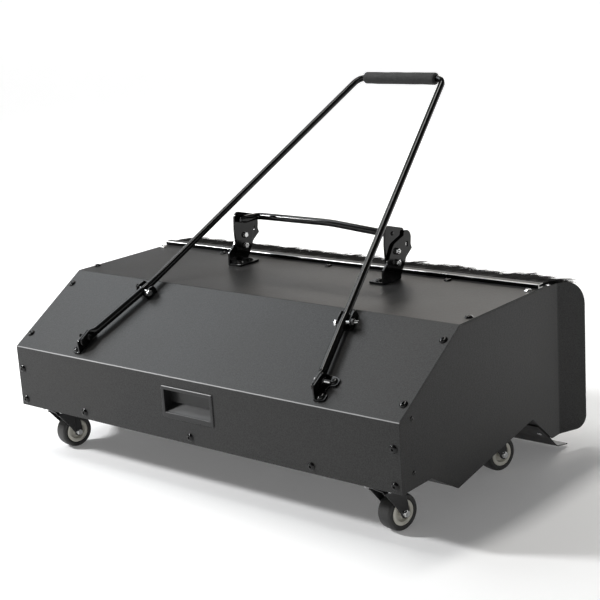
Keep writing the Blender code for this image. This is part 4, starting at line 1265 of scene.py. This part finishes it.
# ---------------------------------------------------------------- casters
def caster_top():
    """Mounting plate with rounded corners, z = 0 at its top."""
    outline = rounded([(0.030, -0.026, 0.005), (0.030, 0.026, 0.005),
                       (-0.030, 0.026, 0.005), (-0.030, -0.026, 0.005)], steps=8)
    return prism(outline, -CASTER_PLATE_SHEET, -GAP, edge=0.0006)


def caster_race():
    """Bearing race and kingpin under the plate."""
    return spindle([
        (0.0190, -0.0027, 0), (0.0200, -0.0032, 0), (0.0203, -0.0050, 0), (0.0200, -0.0078, 0),
        (0.0190, -0.0095, 0), (0.0172, -0.0112, 0), (0.0050, -0.0112, 0), (0.0050, -0.0143, 0),
        (0.0074, -0.0143, 0), (0.0080, -0.0148, 0), (0.0078, -0.0158, 0), (0.0050, -0.0172, 0),
    ], count=40)


def fork_sections():
    """The fork's middle line from axle to crown: (x, z, y, reach) of its half."""
    axle_drop = CREASE_Z + PLATFORM_Z - WHEEL_RADIUS
    crown_top = -0.0115
    leg_x = FORK_HALF_WIDTH
    half = []
    for k in range(9):
        angle = math.pi / 2 * k / 8
        half.append((leg_x, -axle_drop - 0.0080 * math.cos(angle), CASTER_TRAIL,
                     max(0.0012, 0.0080 * math.sin(angle))))
    for k in range(1, 13):
        share = 0.92 * k / 12
        z = -axle_drop + share * (axle_drop + crown_top - 0.003)
        half.append((leg_x, z, CASTER_TRAIL * (1 - share) + 0.002 * min(1, share * 3),
                     0.008 + 0.012 * share))
    start = half[-1][1]
    for k in range(1, 9):
        angle = math.pi / 2 * k / 8
        half.append((leg_x - 0.0068 * (1 - math.cos(angle)),
                     start + (crown_top - start) * math.sin(angle), 0.002, 0.0200))
    return half


def fork_shape():
    """Pressed fork: a crown under the race and two legs that trail back to the axle."""
    thickness = 0.0025
    half = fork_sections()
    stations = half + [(0.006, half[-1][1], 0.002, 0.0200)]
    stations += [(-x, z, y, reach) for x, z, y, reach in stations[::-1]]
    rings = []
    for i, (x, z, y, reach) in enumerate(stations):
        before = stations[max(i - 1, 0)]
        after = stations[min(i + 1, len(stations) - 1)]
        along = Vector((after[0] - before[0], after[1] - before[1])).normalized()
        inward = Vector((-along.y, along.x)) * thickness
        edge = min(0.0007, reach * 0.4)
        across = ((-reach, 0.25), (edge - reach, 0), (reach - edge, 0), (reach, 0.25),
                  (reach, 0.75), (reach - edge, 1), (edge - reach, 1), (-reach, 0.75))
        ring = [(x + inward.x * share, y + offset, z + inward.y * share)
                for offset, share in across]
        rings.append(ring)
    return loft(rings)


def tyre_shape():
    """Tyre with a crowned tread and rounded shoulders."""
    w = WHEEL_HALF_WIDTH
    r = WHEEL_RADIUS
    half = [(0.0207, -w + 0.0016), (0.0212, -w + 0.0006), (0.0222, -w + 0.0001), (0.0240, -w)]
    for k in range(9):
        angle = math.radians(90 * k / 8)
        half.append((r - 0.0046 + 0.0042 * math.sin(angle), -w + 0.0052 - 0.0052 * math.cos(angle)))
    half += [(r - 0.0001, -w + 0.0085), (r, -w + 0.0115)]
    return turned_ring(half + [(radius, -x) for radius, x in half[::-1]])


def hub_shape():
    """Hub with a raised rim, a recessed web and a boss around the axle."""
    side = [(0.0206, -0.0118), (0.0205, -0.0131), (0.0200, -0.0136), (0.0192, -0.0138),
            (0.0152, -0.0138), (0.0144, -0.0136), (0.0140, -0.0130), (0.0131, -0.0085),
            (0.0128, -0.0080), (0.0068, -0.0080), (0.0065, -0.0083), (0.0065, -0.0152),
            (0.0061, -0.0155), (0.0034, -0.0155)]
    return turned_ring(side + [(radius, -x) for radius, x in side[::-1]])


def make_caster(name, centre):
    """One caster: plate, race, fork, tyre, hub and axle bolt."""
    turn = math.radians(CASTER_SWIVEL[name])
    swivel = Matrix.Translation(centre) @ Matrix.Rotation(turn, 4, "Z")
    axle = swivel @ Matrix.Translation((0, CASTER_TRAIL, WHEEL_RADIUS - CREASE_Z - PLATFORM_Z))
    fixed = Matrix.Translation(centre)
    add_piece(f"plate_{name}", moved(caster_top(), fixed), "caster_steel",
              stands_for=[f"caster_plate_{name}"])
    add_piece(f"race_{name}", moved(caster_race(), fixed), "caster_steel", flat=False)
    fork = make_object(f"fork_{name}", moved(fork_shape(), swivel), "caster_steel", 50)
    boolean(fork, moved(spindle([(0.0054, -0.018, 0), (0.0054, -0.008, 0)]), swivel))
    declare(even_normals(fork), f"swivel_{name}", [f"caster_fork_{name}"])
    add_piece(f"wheel_{name}", moved(tyre_shape(), axle), "tyre", f"wheel_{name}",
              [f"tyre_{name}"], flat=False)
    add_piece(f"hub_{name}", moved(hub_shape(), axle), "hub_plastic", f"wheel_{name}",
              [f"wheel_hub_{name}"], flat=False)
    seat = axle @ standing((FORK_HALF_WIDTH, 0, 0), (1, 0, 0))
    add_piece(f"axle_{name}", moved(hex_bolt(2 * FORK_HALF_WIDTH), seat), "zinc", f"swivel_{name}",
              [f"axle_bolt_{name}"], flat=False)


def make_casters():
    """The four casters and the bolts that hold them to the tray."""
    bolts = []
    for end, y in (("front", CASTER_FRONT_Y), ("rear", CASTER_REAR_Y)):
        for hand, side in (("left", -1), ("right", 1)):
            centre = place(side * CASTER_X, y, PLATFORM_Z)
            make_caster(f"{end}_{hand}", centre)
            for dx in (-0.0225, 0.0225):
                for dy in (-0.0190, 0.0190):
                    bolts.append((centre + Vector((dx, dy, SHEET)), TOP_NORMAL))
    add_fasteners("caster_bolt", bolts, hex_bolt(SHEET + CASTER_PLATE_SHEET, tail=0.003), "zinc")


# ---------------------------------------------------------------- studio
def make_camera():
    """The camera, at the same viewing angle as the product shot."""
    level = math.cos(CAMERA_PITCH)
    forward = Vector((math.sin(CAMERA_YAW) * level, math.cos(CAMERA_YAW) * level,
                      -math.sin(CAMERA_PITCH)))
    right = Vector((math.cos(CAMERA_YAW), -math.sin(CAMERA_YAW), 0))
    up = right.cross(forward)
    camera_right = right * math.cos(CAMERA_ROLL) + up * math.sin(CAMERA_ROLL)
    camera_up = up * math.cos(CAMERA_ROLL) - right * math.sin(CAMERA_ROLL)
    data = bpy.data.cameras.new("camera")
    data.lens = CAMERA_LENS
    data.sensor_width = 36
    camera = bpy.data.objects.new("camera", data)
    bpy.context.collection.objects.link(camera)
    matrix = Matrix((camera_right, camera_up, -forward)).transposed().to_4x4()
    camera.matrix_world = Matrix.Translation(CAMERA_PLACE) @ matrix
    bpy.context.scene.camera = camera


def make_floor_and_backdrop():
    """White floor that curves up into a backdrop on all sides."""
    n = Nodes("studio_white")
    broad = n.noise(0.6, detail=1)
    colour = n.mix(n.spread(broad, 0, 1), grey(0.90), grey(0.92))
    white = n.finish(colour, 0.9, n.bump(n.noise(30), 0.02, 0.001), Specular_IOR_Level=0.1)
    radius = n.add("ShaderNodeVectorMath", Vector=n.place)
    radius.operation = "LENGTH"
    glow = n.spread(radius.outputs["Value"], FLOOR_GLOW_NEAR, FLOOR_GLOW_FAR, 1.2, 4.0)
    height = n.add("ShaderNodeSeparateXYZ", Vector=n.place).outputs["Z"]
    glow = n.both("MULTIPLY", glow, n.spread(height, 1, 0.15, 0.7, 1.3))
    n.put(n.shader.inputs["Emission Strength"], glow)
    n.shader.inputs["Emission Color"].default_value = grey(1)
    rings = []
    count = 64
    for radius, height in ((0.5, 0), (3.0, 0), (5.0, 0), (6.0, 0.05), (7.0, 0.25), (7.8, 0.7),
                           (8.3, 1.5), (8.5, 3.0)):
        rings.append([(radius * math.cos(2 * math.pi * k / count),
                       radius * math.sin(2 * math.pi * k / count), height) for k in range(count)])
    verts, faces = loft(rings)
    faces.pop()
    LOOKS["studio_white"] = white
    floor = make_object("studio_floor", (verts, faces), "studio_white")


def add_softbox(name, place_at, target, size, power, colour):
    """A rectangular softbox that faces a target."""
    data = bpy.data.lights.new(name, "AREA")
    data.shape = "RECTANGLE"
    data.size, data.size_y = size
    data.energy = power
    data.color = colour
    lamp = bpy.data.objects.new(name, data)
    lamp.location = place_at
    lamp.rotation_euler = (Vector(target) - Vector(place_at)).to_track_quat("-Z", "Y").to_euler()
    bpy.context.collection.objects.link(lamp)


def make_studio():
    """Camera, floor, soft lights and a pale surround."""
    make_camera()
    make_floor_and_backdrop()
    world = bpy.data.worlds.new("surround")
    bpy.context.scene.world = world
    world.use_nodes = True
    background = world.node_tree.nodes["Background"]
    background.inputs["Color"].default_value = grey(1)
    background.inputs["Strength"].default_value = WORLD_STRENGTH
    for name, settings in SOFTBOXES.items():
        add_softbox(name, *settings)
    bpy.context.scene.view_settings.view_transform = "Standard"


def dress_cad_nodes():
    """Give the CAD nodes that still show the finish of their slot."""
    for name in ("rear_stiffener", "handle_backing_bar"):
        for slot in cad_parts[name].material_slots:
            slot.material = LOOKS["powder_coat"]


def main():
    """Build every piece and the studio."""
    make_studio()
    make_hood()
    make_side_panel("left", -1)
    make_side_panel("right", 1)
    make_floor()
    make_hood_fasteners()
    make_grip_cup()
    make_rail()
    make_bristles()
    make_handle()
    make_hitch()
    make_casters()
    dress_cad_nodes()


main()
bpy.context.view_layer.update()
